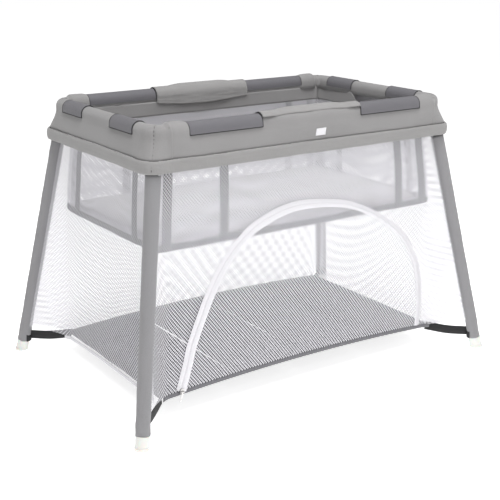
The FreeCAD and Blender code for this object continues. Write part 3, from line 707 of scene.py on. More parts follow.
def shape_rim(bm, sizes, wave):
    """Flare the skirt to the band's box, stand it over the hinges and pivots, and let it wave."""
    flare_x = BAND_X - RAIL_X - 0.0362
    flare_y = BAND_Y - RAIL_Y - 0.0362
    for vert in bm.verts:
        point = vert.co.copy()
        drop = RAIL_Z - point.z
        way = outward_of(point)
        spread = ease((drop - 0.012) / 0.060)
        shift = spread * (flare_x * way.x**2 + flare_y * way.y**2)
        stand = sizes.hinge_bulge * hinge_share(point.x)
        stand = max(stand, sizes.corner_bulge * pivot_share(point.x))
        if abs(way.y) > 0.9 and stand > 0:
            spoke = point - Vector((point.x, math.copysign(RAIL_Y, point.y), RAIL_Z))
            if drop < 0.004:
                vert.co += spoke.normalized() * stand
            elif spoke.dot(way) < 0:
                shift -= stand
            else:
                shift += stand * (1 - ease((drop - 0.004) / 0.052))
        diagonal = 2 * abs(way.x * way.y)
        shift += sizes.corner_flare * spread * diagonal**2
        seam = math.exp(-(((abs(way.x) - abs(way.y)) / 0.055) ** 2)) * ease((drop + 0.020) / 0.02)
        loose = ease((drop - 0.014) / 0.030)
        shift += wave * loose * ripple(point, 0.085, 1.0)
        shift += wave * 0.5 * loose * ripple(point, 0.030, 1.0, 7.0)
        shift -= 0.0011 * seam
        vert.co += way * shift
        vert.co.z += wave * 0.7 * loose * ripple(point, 0.12, 1.0, 3.0)


def rim_bmesh(profile, closed, sizes, wave):
    bm = bmesh.new()
    frames = rim_frames()
    sweep(bm, profile, frames, closed=closed)
    along = bm.verts.layers.float["along"]
    bm.verts.ensure_lookup_table()
    count = len(profile)
    loops = count if closed else count - 1
    start = [vert for vert in bm.verts if vert[along] == 0.0]
    finish_length = max(vert[along] for vert in bm.verts)
    finish = [vert for vert in bm.verts if abs(vert[along] - finish_length) < 1e-9]
    ends = [e for e in bm.edges if e.is_boundary or len(e.link_faces) == 1]
    joining = [e for e in ends if set(e.verts) <= set(start) or set(e.verts) <= set(finish)]
    if len(joining) != 2 * loops:
        raise RuntimeError(f"the rim's seam has {len(joining)} edges, not {2 * loops}")
    bmesh.ops.bridge_loops(bm, edges=joining)
    shape_rim(bm, sizes, wave)
    return bm


def rim_part(bm, where):
    """A copy of the whole rim, cut down to one end's or one long side's share."""
    part = bm.copy()
    if where in ENDS:
        keep_part(part, (ENDS[where] * SPLIT_X, 0, 0), (ENDS[where], 0, 0))
    else:
        for end in ENDS.values():
            keep_part(part, (end * SPLIT_X, 0, 0), (-end, 0, 0))
        keep_part(part, (0, 0, 0), (0, SIDES[where], 0))
    return part


class YARD_OT_rim(bpy.types.Operator):
    """Sew the rim: cloth over the rail that flares down to a padded band"""

    bl_idname = "yard.rim"
    bl_label = "Rim Cloth"

    def execute(self, context):
        sizes, colours = context.scene.yard_sizes, context.scene.yard_colours
        profile = rim_profile(sizes)
        cloth = rim_bmesh(profile, False, sizes, sizes.cloth_wave)
        band = rim_bmesh(band_profile(sizes), True, sizes, sizes.cloth_wave * 0.8)
        width = sum(math.dist(a, b) for a, b in zip(profile, profile[1:]))
        for where in (*SIDES, *ENDS):
            skirt = make_piece(rim_part(cloth, where), f"rim_cloth_{where}", rim_cloth(colours), False)
            roll = make_piece(rim_part(band, where), f"rim_band_{where}", band_cloth(colours))
            thicken(skirt, 0.0009)
            for piece in (skirt, roll):
                hang(piece, where, "rim_fabric", f"skirt_{where}")
        cloth.free()
        band.free()
        return {"FINISHED"}


def thicken(piece, thickness):
    """Give an open sheet its thickness, laid inwards."""
    solid = piece.modifiers.new("Cloth thickness", "SOLIDIFY")
    solid.thickness = thickness
    solid.offset = -1.0


def face_outwards(bm, way):
    """Turn an open sheet's faces so that most of them look the way that way(point) gives."""
    bmesh.ops.recalc_face_normals(bm, faces=bm.faces)
    bm.normal_update()
    total = sum(face.normal.dot(way(face.calc_center_median())) * face.calc_area() for face in bm.faces)
    if total < 0:
        bmesh.ops.reverse_faces(bm, faces=bm.faces)


def grid_sheet(across, down, place, way):
    """A sheet of across by down facets whose corners place(s, t) gives, with UVs in metres."""
    bm = bmesh.new()
    lengths = [bm.verts.layers.float.new(name) for name in ("along", "across")]
    bmesh.ops.create_grid(bm, x_segments=across, y_segments=down, size=0.5)
    height = run_length([place(0.5, t / 8) for t in range(9)])
    for vert in bm.verts:
        s, t = vert.co.x + 0.5, vert.co.y + 0.5
        vert[lengths[0]] = run_length([place(n / 6 * s, t) for n in range(7)])
        vert[lengths[1]] = t * height
        vert.co = place(s, t)
    face_outwards(bm, way)
    return bm


def ring_tube(points, radius_at, sides):
    """A round tube along points whose radius is radius_at(share of its length, turn)."""
    bm = bmesh.new()
    frames = path_frames(points)
    sweep(bm, ring(1.0, sides), frames, closed=True)
    along = bm.verts.layers.float["along"]
    across = bm.verts.layers.float["across"]
    length = max(vert[along] for vert in bm.verts)
    travelled = [0.0]
    for a, b in zip(points, points[1:]):
        travelled.append(travelled[-1] + (b - a).length)
    for vert in bm.verts:
        index = min(range(len(travelled)), key=lambda n: abs(travelled[n] - vert[along]))
        centre = frames[index].translation
        spoke = vert.co - centre
        turn = math.atan2(*(frames[index].inverted().to_3x3() @ spoke).xy.yx)
        vert.co = centre + spoke * radius_at(vert[along] / length, turn)
        vert[across] *= radius_at(0.5, 0.0)
    return bm


def join_meshes(parts):
    """One bmesh that holds all the parts, which are used up."""
    whole = bmesh.new()
    for part in parts:
        mesh = bpy.data.meshes.new("part")
        part.to_mesh(mesh)
        part.free()
        whole.from_mesh(mesh)
        bpy.data.meshes.remove(mesh)
    return whole


def tidy_path(points, spacing):
    """A smooth line through points, resampled to an even spacing."""
    spots = [2 * points[0] - points[1], *points, 2 * points[-1] - points[-2]]
    dense = []
    for a, b, c, d in zip(spots, spots[1:], spots[2:], spots[3:]):
        for step in range(24):
            t = step / 24
            spot = 2 * b + (c - a) * t + (2 * a - 5 * b + 4 * c - d) * t**2
            dense.append(0.5 * (spot + (3 * b - a - 3 * c + d) * t**3))
    dense.append(points[-1])
    length = run_length(dense)
    count = max(2, round(length / spacing))
    line, gone, target = [dense[0].copy()], 0.0, length / count
    for a, b in zip(dense, dense[1:]):
        run = (b - a).length
        while run > 0 and gone + run >= target * len(line) - 1e-9 and len(line) < count:
            line.append(a.lerp(b, (target * len(line) - gone) / run))
        gone += run
    line.append(dense[-1].copy())
    return line


# ---------------------------------------------------------------- frame finishes


class YARD_OT_frame(bpy.types.Operator):
    """Finish the frame's tubes, mouldings, pins and feet"""

    bl_idname = "yard.frame"
    bl_label = "Frame Finishes"

    def execute(self, context):
        colours = context.scene.yard_colours
        makers = (
            (("foot_",), frosted_plastic, "foot_plastic"),
            (("leg_f", "leg_b", "short_rail_"), coated_tube, "frame_tube"),
            (("corner_pins_", "centre_pin_"), plated_metal, "pin_steel"),
            (("corner_",), moulded_black, "bracket_plastic"),
            (("lock_button_",), plated_metal, "button_plastic"),
            (("zip_slider", "zip_pull"), plated_metal, "zip_metal"),
        )
        ends = (("_lock_housing", moulded_black, "bracket_plastic"), ("_rail", coated_tube, "frame_tube"))
        for name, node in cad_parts.items():
            rule = next((row[1:] for row in makers if name.startswith(row[0])), None)
            rule = rule or next((row[1:] for row in ends if name.endswith(row[0])), None)
            if rule is None:
                continue
            node.data.materials.clear()
            node.data.materials.append(rule[0](colours))
        return {"FINISHED"}


# ---------------------------------------------------------------- rail covers, clips, flaps


def rail_ends():
    """Every half rail as (name, side sign)."""
    return [(f"{side}_{end}", SIDES[side]) for side in SIDES for end in ENDS]


def rail_body(name):
    """The moving body of a half rail, such as front_rail_left for front_left."""
    return name.replace("_", "_rail_")


class YARD_OT_rail_covers(bpy.types.Operator):
    """Wrap each half of the long rails in its padded cover"""

    bl_idname = "yard.rail_covers"
    bl_label = "Rail Covers"

    def execute(self, context):
        colours = context.scene.yard_colours
        for name, side in rail_ends():
            low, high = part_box(f"{name}_rail_cover")
            start, stop = sorted((low.x, high.x), key=abs)
            points = [
                Vector((start + (stop - start) * n / 60, side * RAIL_Y, RAIL_Z)) for n in range(61)
            ]

            def swell(share, _turn):
                quilt = abs(math.sin(share * math.pi * 6))
                return COVER_RADIUS - 0.0012 + 0.0007 * quilt**0.5

            bm = ring_tube(points, swell, 24)
            piece = make_piece(bm, f"rail_cover_{name}", sleeve_cloth(colours))
            thicken(piece, 0.003)
            dress(piece, rail_body(name), "sleeve_fabric", f"{name}_rail_cover")
        return {"FINISHED"}


END_CLIP_START = 0.076


def clip_outline():
    """The outside of a bassinet clip's section, from its outer edge over the rail to its inner one."""
    outer = COVER_RADIUS + 0.0034
    points = [(outer + 0.0012, -0.0088), (outer + 0.0003, -0.0045)]
    return [*points, *arc(outer, range(0, 181, 12)), (-outer, -0.0070)]


def clip_profile():
    """A bassinet clip's section: a soft channel pressed over the rail."""
    inner = COVER_RADIUS + 0.0004
    lining = arc(inner, range(180, -1, -12))
    return [*clip_outline(), (-inner, -0.0076), *lining, (inner + 0.0012, -0.0092)]


def clip_frames(start, run, outward, length):
    """Frames along a clip, drawn in at both ends so that the cloth rolls over its edge."""
    frames = []
    for step in range(41):
        gone = length * step / 40
        ends = min(gone, length - gone)
        pinch = 1 - 0.03 * (1 - ease(ends / 0.004))
        matrix = Matrix((outward, UP, outward.cross(UP))).transposed().to_4x4()
        matrix.translation = start + run * gone
        frames.append(matrix @ Matrix.Diagonal((pinch, pinch, 1, 1)))
    return frames


def clip_row(start, run, outward, length, meshes):
    """One clip's channel, with a thin black cord along its lower edge and round both ends."""
    frames = clip_frames(start, run, outward, length)
    sweep(meshes[0], clip_profile(), frames, closed=True, capped=True)
    edge = Vector((*clip_outline()[0], 0)) + Vector((-0.0006, 0, 0))
    sweep(meshes[1], ring(0.0012), path_frames([f @ edge for f in frames]), closed=True, capped=True)
    for frame_at in (frames[0], frames[-1]):
        path = tidy_path([frame_at @ Vector((u, v, 0)) for u, v in clip_outline()], 0.002)
        sweep(meshes[1], ring(0.0009), path_frames(path, run), closed=True, capped=True)


class YARD_OT_clips(bpy.types.Operator):
    """Cover the bassinet's clips in dark cloth with a thin black edge"""

    bl_idname = "yard.clips"
    bl_label = "Bassinet Clips"

    def finish(self, context, name, node, body, rows):
        colours = context.scene.yard_colours
        meshes = (bmesh.new(), bmesh.new())
        for row in rows:
            clip_row(*row, meshes)
        channel = make_piece(meshes[0], f"clip_{name}", clip_cloth(colours), sharp=50)
        dark_edge = make_piece(meshes[1], f"clip_piping_{name}", black_webbing(colours))
        dress(channel, body, "clip_plastic", node)
        dress(dark_edge, body, "webbing")

    def execute(self, context):
        for name, side in rail_ends():
            low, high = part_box(f"{name}_clip")
            start = Vector((low.x, side * RAIL_Y, RAIL_Z))
            row = (start, Vector((1, 0, 0)), Vector((0, side, 0)), high.x - low.x)
            self.finish(context, name, f"{name}_clip", rail_body(name), [row])
        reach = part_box("end_clips_right")[1].y
        length = reach - END_CLIP_START
        for end_name, end in ENDS.items():
            rows = [
                (Vector((end * RAIL_X, y, RAIL_Z)), Vector((0, 1, 0)), Vector((end, 0, 0)), length)
                for y in (-reach, reach - length)
            ]
            self.finish(context, end_name, f"end_clips_{end_name}", f"{end_name}_end", rows)
        return {"FINISHED"}


FLAP_LENGTH, FLAP_DEPTH = 0.299, 0.092
LINING_LENGTH, LINING_DEPTH = 0.286, 0.043


class YARD_OT_flaps(bpy.types.Operator):
    """Lay the smooth flap over each centre hinge, and under it a loose lining whose dark cloth is painted
    shade in the gap below the flap
    """

    bl_idname = "yard.flaps"
    bl_label = "Hinge Flaps"

    def execute(self, context):
        colours = context.scene.yard_colours
        sizes = context.scene.yard_sizes
        radius = COVER_RADIUS + 0.0022
        for side_name, side in SIDES.items():

            def over_rail(s, t, side=side):
                x = (s - 0.5) * FLAP_LENGTH
                edge = 1 - (2 * s - 1) ** 2
                turn = math.radians(35 + 145 * min(1, t / 0.62))
                drop = max(0.0, t - 0.62) / 0.38 * (0.019 + 0.008 * edge)
                reach = radius + sizes.hinge_bulge * max(hinge_share(x), 0.55)
                wave = ripple(Vector((x, t, 0)), 0.06, 0.0012)
                y = side * (RAIL_Y + reach * math.cos(turn)) + wave
                return Vector((x, y, RAIL_Z + reach * math.sin(turn) - drop))

            def over_way(point, side=side):
                return Vector((0, point.y - side * RAIL_Y, point.z - RAIL_Z))

            # The lining hangs in the shadowed gap under the flap; its darker cloth is painted shade.
            def lining(s, t, side=side):
                x = (s - 0.5) * LINING_LENGTH
                edge = 1 - (2 * s - 1) ** 2
                sag = 0.012 + 0.042 * edge
                inset = radius - 0.0020 - 0.004 * math.sin(math.pi * t) * edge
                wave = ripple(Vector((x, t, 5)), 0.03, 0.0016)
                return Vector((x, side * (RAIL_Y - inset) + wave, RAIL_Z - 0.004 - sag * t))

            sheet = grid_sheet(48, 24, over_rail, over_way)
            flap = make_piece(sheet, f"hinge_flap_{side_name}", band_cloth(colours), False)
            sheet = grid_sheet(40, 12, lining, lambda p, way=Vector((0, -side, 0)): way)
            # Painted shade: the lining takes the clips' darker cloth to stand for the shadow under the flap.
            painted_shade_liner = make_piece(sheet, f"hinge_painted_shade_lining_{side_name}", clip_cloth(colours), False)
            thicken(flap, 0.0008)
            thicken(painted_shade_liner, 0.0007)
            crumple(flap, "rim_fabric")
            crumple(painted_shade_liner, "sleeve_fabric")
        return {"FINISHED"}


# ---------------------------------------------------------------- netting

NET_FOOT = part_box("netting_front")[0].z
NET_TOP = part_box("netting_front")[1].z
NET_TOP_OUT = {"long": RAIL_Y + 0.002, "end": RAIL_X + 0.002}
HEM_OUT = {"long": FLOOR_HIGH.y + 0.005, "end": FLOOR_HIGH.x + 0.004}
HEM_RUN = {"long": FLOOR_HIGH.x - 0.010, "end": FLOOR_HIGH.y - 0.009}
HEM_LOW = {"long": 0.053, "end": 0.0445}
SLEEVE_REACH = 0.0135


def run_kind(where):
    return "long" if where in SIDES else "end"


def net_edge(kind, z):
    """Where a wall's netting meets the leg at height z: its distance along and out."""
    point = leg_point(1, 1, z)
    along, out = (point.x, point.y) if kind == "long" else (point.y, point.x)
    return along - SLEEVE_REACH, mix(out + 0.002, NET_TOP_OUT[kind], ease((z - SLEEVE_HIGH + 0.03) / 0.06))


def net_out(kind, along, z):
    """How far out a wall's netting stands, at a distance along it and a height."""
    share = (NET_TOP - z) / (NET_TOP - HEM_LOW[kind])
    middle_out = mix(NET_TOP_OUT[kind], HEM_OUT[kind], share)
    edge_along, edge_out = net_edge(kind, z)
    top_along = net_edge(kind, NET_TOP)[0] - 0.012
    crease = mix(top_along, HEM_RUN[kind], share)
    reach = (abs(along) - crease + 0.012) / max(0.004, edge_along - crease + 0.012)
    return middle_out + (edge_out - middle_out) * min(1, max(0, reach)) ** 1.35


def hem_low(kind, along, sizes):
    """The height of a wall's hem's lower edge."""
    share = abs(along) / HEM_RUN[kind]
    if share <= 1:
        return HEM_LOW[kind] + (sizes.hem_arch if kind == "long" else 0.006) * (1 - share**2)
    reach = (share - 1) / (net_edge(kind, NET_FOOT)[0] / HEM_RUN[kind] - 1)
    return mix(HEM_LOW[kind], NET_FOOT + 0.024, min(1, reach))


def wall_spot(where, along, out, z):
    """A point in the yard's frame from a wall's own distances along and out."""
    if where in SIDES:
        return Vector((along, SIDES[where] * out, z))
    return Vector((ENDS[where] * out, along, z))


def net_place(where, sizes):
    kind = run_kind(where)
    foot_along, top_along = net_edge(kind, NET_FOOT)[0], net_edge(kind, NET_TOP)[0]

    def place(s, t):
        share = 2 * s - 1
        bottom = hem_low(kind, share * foot_along, sizes) + sizes.hem_height * 0.8
        z = mix(bottom, NET_TOP, t)
        along = share * mix(foot_along, top_along, (z - NET_FOOT) / (NET_TOP - NET_FOOT))
        inside = 1 - abs(share) ** 8
        point = wall_spot(where, along, net_out(kind, along, z), z)
        slack = ripple(point, 0.17, 0.0040, 11) + ripple(point, 0.06, 0.0012, 2)
        return point + wall_spot(where, 0, 1, 0) * slack * inside * math.sin(math.pi * min(1, t * 1.1))

    return place


class YARD_OT_netting(bpy.types.Operator):
    """Hang the four netting walls between the rim, the legs and the floor"""

    bl_idname = "yard.netting"
    bl_label = "Netting Walls"

    def execute(self, context):
        sizes, colours = context.scene.yard_sizes, context.scene.yard_colours
        for where in (*SIDES, *ENDS):
            kind = run_kind(where)
            columns = 120 if kind == "long" else 72
            bm = grid_sheet(columns, 64, net_place(where, sizes), lambda p, w=where: wall_spot(w, 0, 1, 0))
            piece = make_piece(bm, f"netting_{where}_wall", netting_cloth(colours, sizes), False)
            hang(piece, where, "netting", f"netting_{where}")
            width = net_edge(kind, NET_FOOT)[0] + net_edge(kind, NET_TOP)[0]
        return {"FINISHED"}


class YARD_OT_hems(bpy.types.Operator):
    """Edge the netting: a grey strip along the floor's long sides, white binding at its ends"""

    bl_idname = "yard.hems"
    bl_label = "Hems"

    def strip(self, sizes, where, offset, material, slot):
        kind, height = run_kind(where), sizes.hem_height

        def place(s, t):
            along = (2 * s - 1) * (HEM_RUN[kind] + 0.006)
            z = hem_low(kind, along, sizes) + height * t
            roll = offset * math.sin(math.pi * (0.15 + 0.7 * t))
            return wall_spot(where, along, net_out(kind, along, z) + roll, z)

        bm = grid_sheet(90, 5, place, lambda p: wall_spot(where, 0, 1, 0))
        piece = make_piece(bm, f"hem_{where}", material, False)
        thicken(piece, 0.0012)
        hang(piece, where, slot)

    def execute(self, context):
        sizes, colours = context.scene.yard_sizes, context.scene.yard_colours
        for where in SIDES:
            self.strip(sizes, where, 0.0016, hem_cloth(colours), "floor_fabric")
        for where in ENDS:
            self.strip(sizes, where, 0.0014, white_tape(colours), "zip_tape")
        return {"FINISHED"}


# ---------------------------------------------------------------- leg sleeves and straps


SLEEVE_RADIUS = 0.0170


def fan(way, degrees):
    """Unit directions in plan, spread evenly to both sides of a direction."""
    flat = Vector((way.x, way.y)).normalized()
    turns = [math.radians(degrees * (n / 8 - 1)) for n in range(17)]
    return [Matrix.Rotation(turn, 2) @ flat for turn in turns]


class YARD_OT_sleeves(bpy.types.Operator):
    """Slip the cloth sleeves over the legs and tie the feet to the floor with webbing"""

    bl_idname = "yard.sleeves"
    bl_label = "Leg Sleeves"

    def sleeves(self, end):
        tubes = []
        for side in SIDES.values():
            points = [leg_point(end, side, mix(SLEEVE_LOW, SLEEVE_HIGH, n / 90)) for n in range(91)]
            seed = 3.1 * side + 1.7 * end

            def wrap(share, turn, seed=seed):
                fold = noise.noise(Vector((share * 26 + seed, turn * 0.9, seed)))
                bunch = 0.0010 * (1 - ease(share / 0.12)) + 0.0004
                rib = 0.0003 * math.cos(2 * turn)
                return SLEEVE_RADIUS + fold * bunch * 1.6 + rib + 0.0008 * share

            tubes.append(ring_tube(points, wrap, 28))
        return join_meshes(tubes)

    def execute(self, context):
        sizes, colours = context.scene.yard_sizes, context.scene.yard_colours
        for end_name, end in ENDS.items():
            body = f"{end_name}_end"
            piece = make_piece(self.sleeves(end), f"leg_sleeve_{end_name}", sleeve_cloth(colours))
            thicken(piece, 0.0014)
            dress(piece, body, "sleeve_fabric", f"leg_sleeves_{end_name}")
            height = (leg_point(end, 1, SLEEVE_HIGH) - leg_point(end, 1, SLEEVE_LOW)).length
            straps, loops = bmesh.new(), bmesh.new()
            for side in SIDES.values():
                corner = Vector((end * (HEM_RUN["long"] + 0.004), side * (HEM_RUN["end"] + 0.010), 0.056))
                foot = leg_point(end, side, 0.045)
                foot += (corner - foot).normalized() * 0.016
                sag = Vector((0, 0, -0.004))
                path = tidy_path([foot, foot.lerp(corner, 0.5) + sag, corner], 0.006)
                profile = [(v, u) for u, v in slab_profile(sizes.strap_width, 0.0018)]
                sweep(straps, profile, path_frames(path), closed=True, capped=True)
                ankle = leg_point(end, side, 0.040)
                tab = [ankle + inward.to_3d() * 0.0182 for inward in fan(corner - ankle, 50)]
                sweep(loops, profile, path_frames(tab), closed=True, capped=True)
            strap = make_piece(straps, f"foot_straps_{end_name}", black_webbing(colours))
            loop = make_piece(loops, f"foot_loops_{end_name}", black_webbing(colours))
            nodes = ("floor_straps",) if end_name == "left" else ()
            dress(strap, body, "webbing", *nodes)
            dress(loop, body, "webbing")
        return {"FINISHED"}


# ---------------------------------------------------------------- zip door

DOOR_LINE = (
    (-0.380, 0.066), (-0.360, 0.130), (-0.340, 0.194), (-0.274, 0.331), (-0.207, 0.411), (-0.138, 0.453),
    (-0.042, 0.477), (0.074, 0.469), (0.155, 0.448), (0.238, 0.407), (0.316, 0.349), (0.360, 0.290),
    (0.384, 0.235), (0.396, 0.150), (0.393, 0.066),
)


def door_path(spacing):
    points = tidy_path([Vector((x, 0, z)) for x, z in DOOR_LINE], spacing)
    return [Vector((p.x, -net_out("long", p.x, p.z) - 0.0015, p.z)) for p in points]


class YARD_OT_zip_door(bpy.types.Operator):
    """Sew the arched zip door into the front netting: tape, chain and teeth"""

    bl_idname = "yard.zip_door"
    bl_label = "Zip Door"

    def execute(self, context):
        sizes, colours = context.scene.yard_sizes, context.scene.yard_colours
        outward = Vector((0, -1, 0))
        path = door_path(0.006)
        frames = path_frames(path, outward)
        tape, chain, teeth = bmesh.new(), bmesh.new(), bmesh.new()
        taper = [mix(1.0, 0.62, ease((n / len(frames) - 0.35) / 0.30)) for n in range(len(frames))]
        narrowed = [place @ Matrix.Diagonal((share, 1, 1, 1)) for place, share in zip(frames, taper)]
        sweep(tape, slab_profile(sizes.tape_width, 0.0008, 2), narrowed, closed=True, capped=True)
        ridge = [(-0.0034, 0.0002), (-0.0026, 0.0011), (0.0026, 0.0011), (0.0034, 0.0002)]
        sweep(chain, ridge, frames, closed=True, capped=True)
        for number, place in enumerate(path_frames(door_path(0.0019), outward)):
            side = 1 if number % 2 else -1
            made = bmesh.ops.create_cube(teeth, size=1.0)["verts"]
            offset = Matrix.Translation((side * 0.0007, 0.0013, 0))
            spot = place @ offset @ Matrix.Diagonal((0.0034, 0.0012, 0.0012, 1))
            bmesh.ops.transform(teeth, matrix=spot, verts=made)
        band = make_piece(tape, "door_tape", white_tape(colours))
        spine = make_piece(chain, "door_zip_chain", white_tape(colours))
        row = make_piece(teeth, "door_zip_teeth", white_tape(colours), sharp=30)
        crumple(band, "zip_tape", "door_zip_tape")
        crumple(spine, "zip_tape")
        crumple(row, "zip_tape")
        run_length(path)
        return {"FINISHED"}


# ---------------------------------------------------------------- padded panels


PUFF_FRAMES = 16


def puff(piece, pressure, rise):
    """Blow a closed panel up as cloth, then keep the vertical swell within rise."""
    start = [vert.co.copy() for vert in piece.data.vertices]
    cloth = piece.modifiers.new("Cloth", "CLOTH")
    settings = cloth.settings
    settings.quality = 6
    settings.use_pressure = True
    settings.uniform_pressure_force = pressure
    settings.tension_stiffness = settings.compression_stiffness = 18
    settings.bending_stiffness = 0.4
    settings.effector_weights.gravity = 0
    cloth.collision_settings.use_collision = False
    scene = bpy.context.scene
    cloth.point_cache.frame_start, cloth.point_cache.frame_end = 1, PUFF_FRAMES
    for number in range(1, PUFF_FRAMES + 1):
        scene.frame_set(number)
    settled = piece.evaluated_get(bpy.context.evaluated_depsgraph_get())
    moved = [vert.co.copy() for vert in settled.data.vertices]
    piece.modifiers.remove(cloth)
    scene.frame_set(1)
    for vert, before, after in zip(piece.data.vertices, start, moved):
        shift = after - before
        longest = max(shift.length, 1e-9)
        vert.co = before + shift * min(1.0, rise / longest)


def panel_bmesh(low, high, spacing, edge):
    """A pillow-edged slab from low to high, faceted finely enough to swell."""
    bm = bmesh.new()
    size = high - low
    middle = (low + high) / 2
    bmesh.ops.create_cube(bm, size=1.0)
    slab = Matrix.Translation(middle) @ Matrix.Diagonal((*size, 1))
    bmesh.ops.transform(bm, matrix=slab, verts=bm.verts)
    for axis in range(3):
        steps = max(2, round(size[axis] / spacing)) if axis < 2 else 2
        for step in range(1, steps):
            spot = Vector(low)
            spot[axis] = low[axis] + size[axis] * step / steps
            normal = [0, 0, 0]
            normal[axis] = 1
            everything = bm.verts[:] + bm.edges[:] + bm.faces[:]
            bmesh.ops.bisect_plane(bm, geom=everything, plane_co=spot, plane_no=normal)
    for vert in bm.verts:
        inset = min(vert.co.x - low.x, high.x - vert.co.x, vert.co.y - low.y, high.y - vert.co.y)
        full = math.sqrt(max(0.0, 1 - (1 - min(1, inset / edge)) ** 2))
        vert.co.z = middle.z + (vert.co.z - middle.z) * mix(0.30, 1.0, full)
    return bm


def padded_row(name, boxes, spacing, edge, material, pressure, rise, arch=0.0):
    """A row of padded panels as one piece, swollen between their edges and arched along X."""
    bm = join_meshes([panel_bmesh(low, high, spacing, edge) for low, high in boxes])
    for vert in bm.verts:
        vert.co.z += arch * (1 - (vert.co.x / boxes[-1][1].x) ** 2)
    piece = make_piece(bm, name, material)
    puff(piece, pressure, rise)
    smooth = piece.modifiers.new("Smooth cloth", "SUBSURF")
    smooth.levels = smooth.render_levels = 1
    return piece


class YARD_OT_floor(bpy.types.Operator):
    """Lay the folding padded floor between the hems"""

    bl_idname = "yard.floor"
    bl_label = "Padded Floor"

    def execute(self, context):
        sizes, colours = context.scene.yard_sizes, context.scene.yard_colours
        length = FLOOR_HIGH.x - FLOOR_LOW.x
        boxes = []
        for number in range(4):
            x = FLOOR_LOW.x + length * number / 4
            low = Vector((x + 0.0004, FLOOR_LOW.y - 0.0040, FLOOR_LOW.z - 0.002))
            high = Vector((x + length / 4 - 0.0004, FLOOR_HIGH.y + 0.0040, FLOOR_HIGH.z + 0.006))
            boxes.append((low, high))
        piece = padded_row(
            "floor_pads", boxes, 0.014, 0.020, floor_cloth(colours), 0.6, sizes.floor_crown,
            sizes.hem_arch,
        )
        crumple(piece, "floor_fabric", "floor_panel")
        return {"FINISHED"}


class YARD_OT_mattress(bpy.types.Operator):
    """Pad the bassinet's four-panel mattress"""

    bl_idname = "yard.mattress"
    bl_label = "Mattress"

    def execute(self, context):
        colours = context.scene.yard_colours
        low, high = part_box("mattress")
        step = (high.x - low.x + 0.004) / 4
        boxes = []
        for number in range(4):
            x = low.x + step * number
            boxes.append((Vector((x, low.y, low.z)), Vector((x + step - 0.004, high.y, high.z))))
        piece = padded_row("mattress_pads", boxes, 0.014, 0.016, mattress_cloth(colours), 0.8, 0.005)
        dress(piece, "mattress", "mattress_fabric", "mattress")
        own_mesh(piece)
        return {"FINISHED"}


# ---------------------------------------------------------------- bassinet


BASSINET_RUN = {"long": BASSINET_X, "end": BASSINET_Y}
BASSINET_OUT = {"long": BASSINET_Y, "end": BASSINET_X}
BASSINET_BAND_LOW = 0.645
BASSINET_STRAP_TOP = 0.655
BASSINET_UPRIGHTS = {
    "front": (-0.388, -0.238, 0.306, 0.388),
    "back": (-0.388, -0.238, 0.306, 0.388),
    "left": (-0.140, 0.160),
    "right": (-0.160, 0.140),
}


def bassinet_place(where, low, high):
    """A wall of the bassinet between two heights: flared at its bottom and drawn in at its corners."""
    kind = run_kind(where)
    run, out = BASSINET_RUN[kind], BASSINET_OUT[kind]

    def place(s, t):
        share = 2 * s - 1
        between = 1 - ease((abs(share) * run - 0.045) / 0.035) if kind == "end" else 0
        z = mix(low, high - between * 0.026 * (high > 0.66), t)
        along = share * (run - 0.004)
        rise = ease((z - BASSINET_Z) / 0.24)
        long_flare, deep_flare = mix(0.018, 0.002, rise), mix(0.013, 0.0, rise)
        flare, spread = (deep_flare, long_flare) if kind == "long" else (long_flare, deep_flare)
        along *= 1 + spread / run
        drawn = 0.004 * ease((abs(share) * run - run + 0.03) / 0.03) - flare
        slack = ripple(wall_spot(where, along, out, z), 0.11, 0.0045, 21)
        slack += 0.003 * math.sin(math.pi * (z - BASSINET_Z) / (RAIL_Z - BASSINET_Z)) * (1 - share**2)
        return wall_spot(where, along, out - 0.002 - drawn + slack, z)

    return place


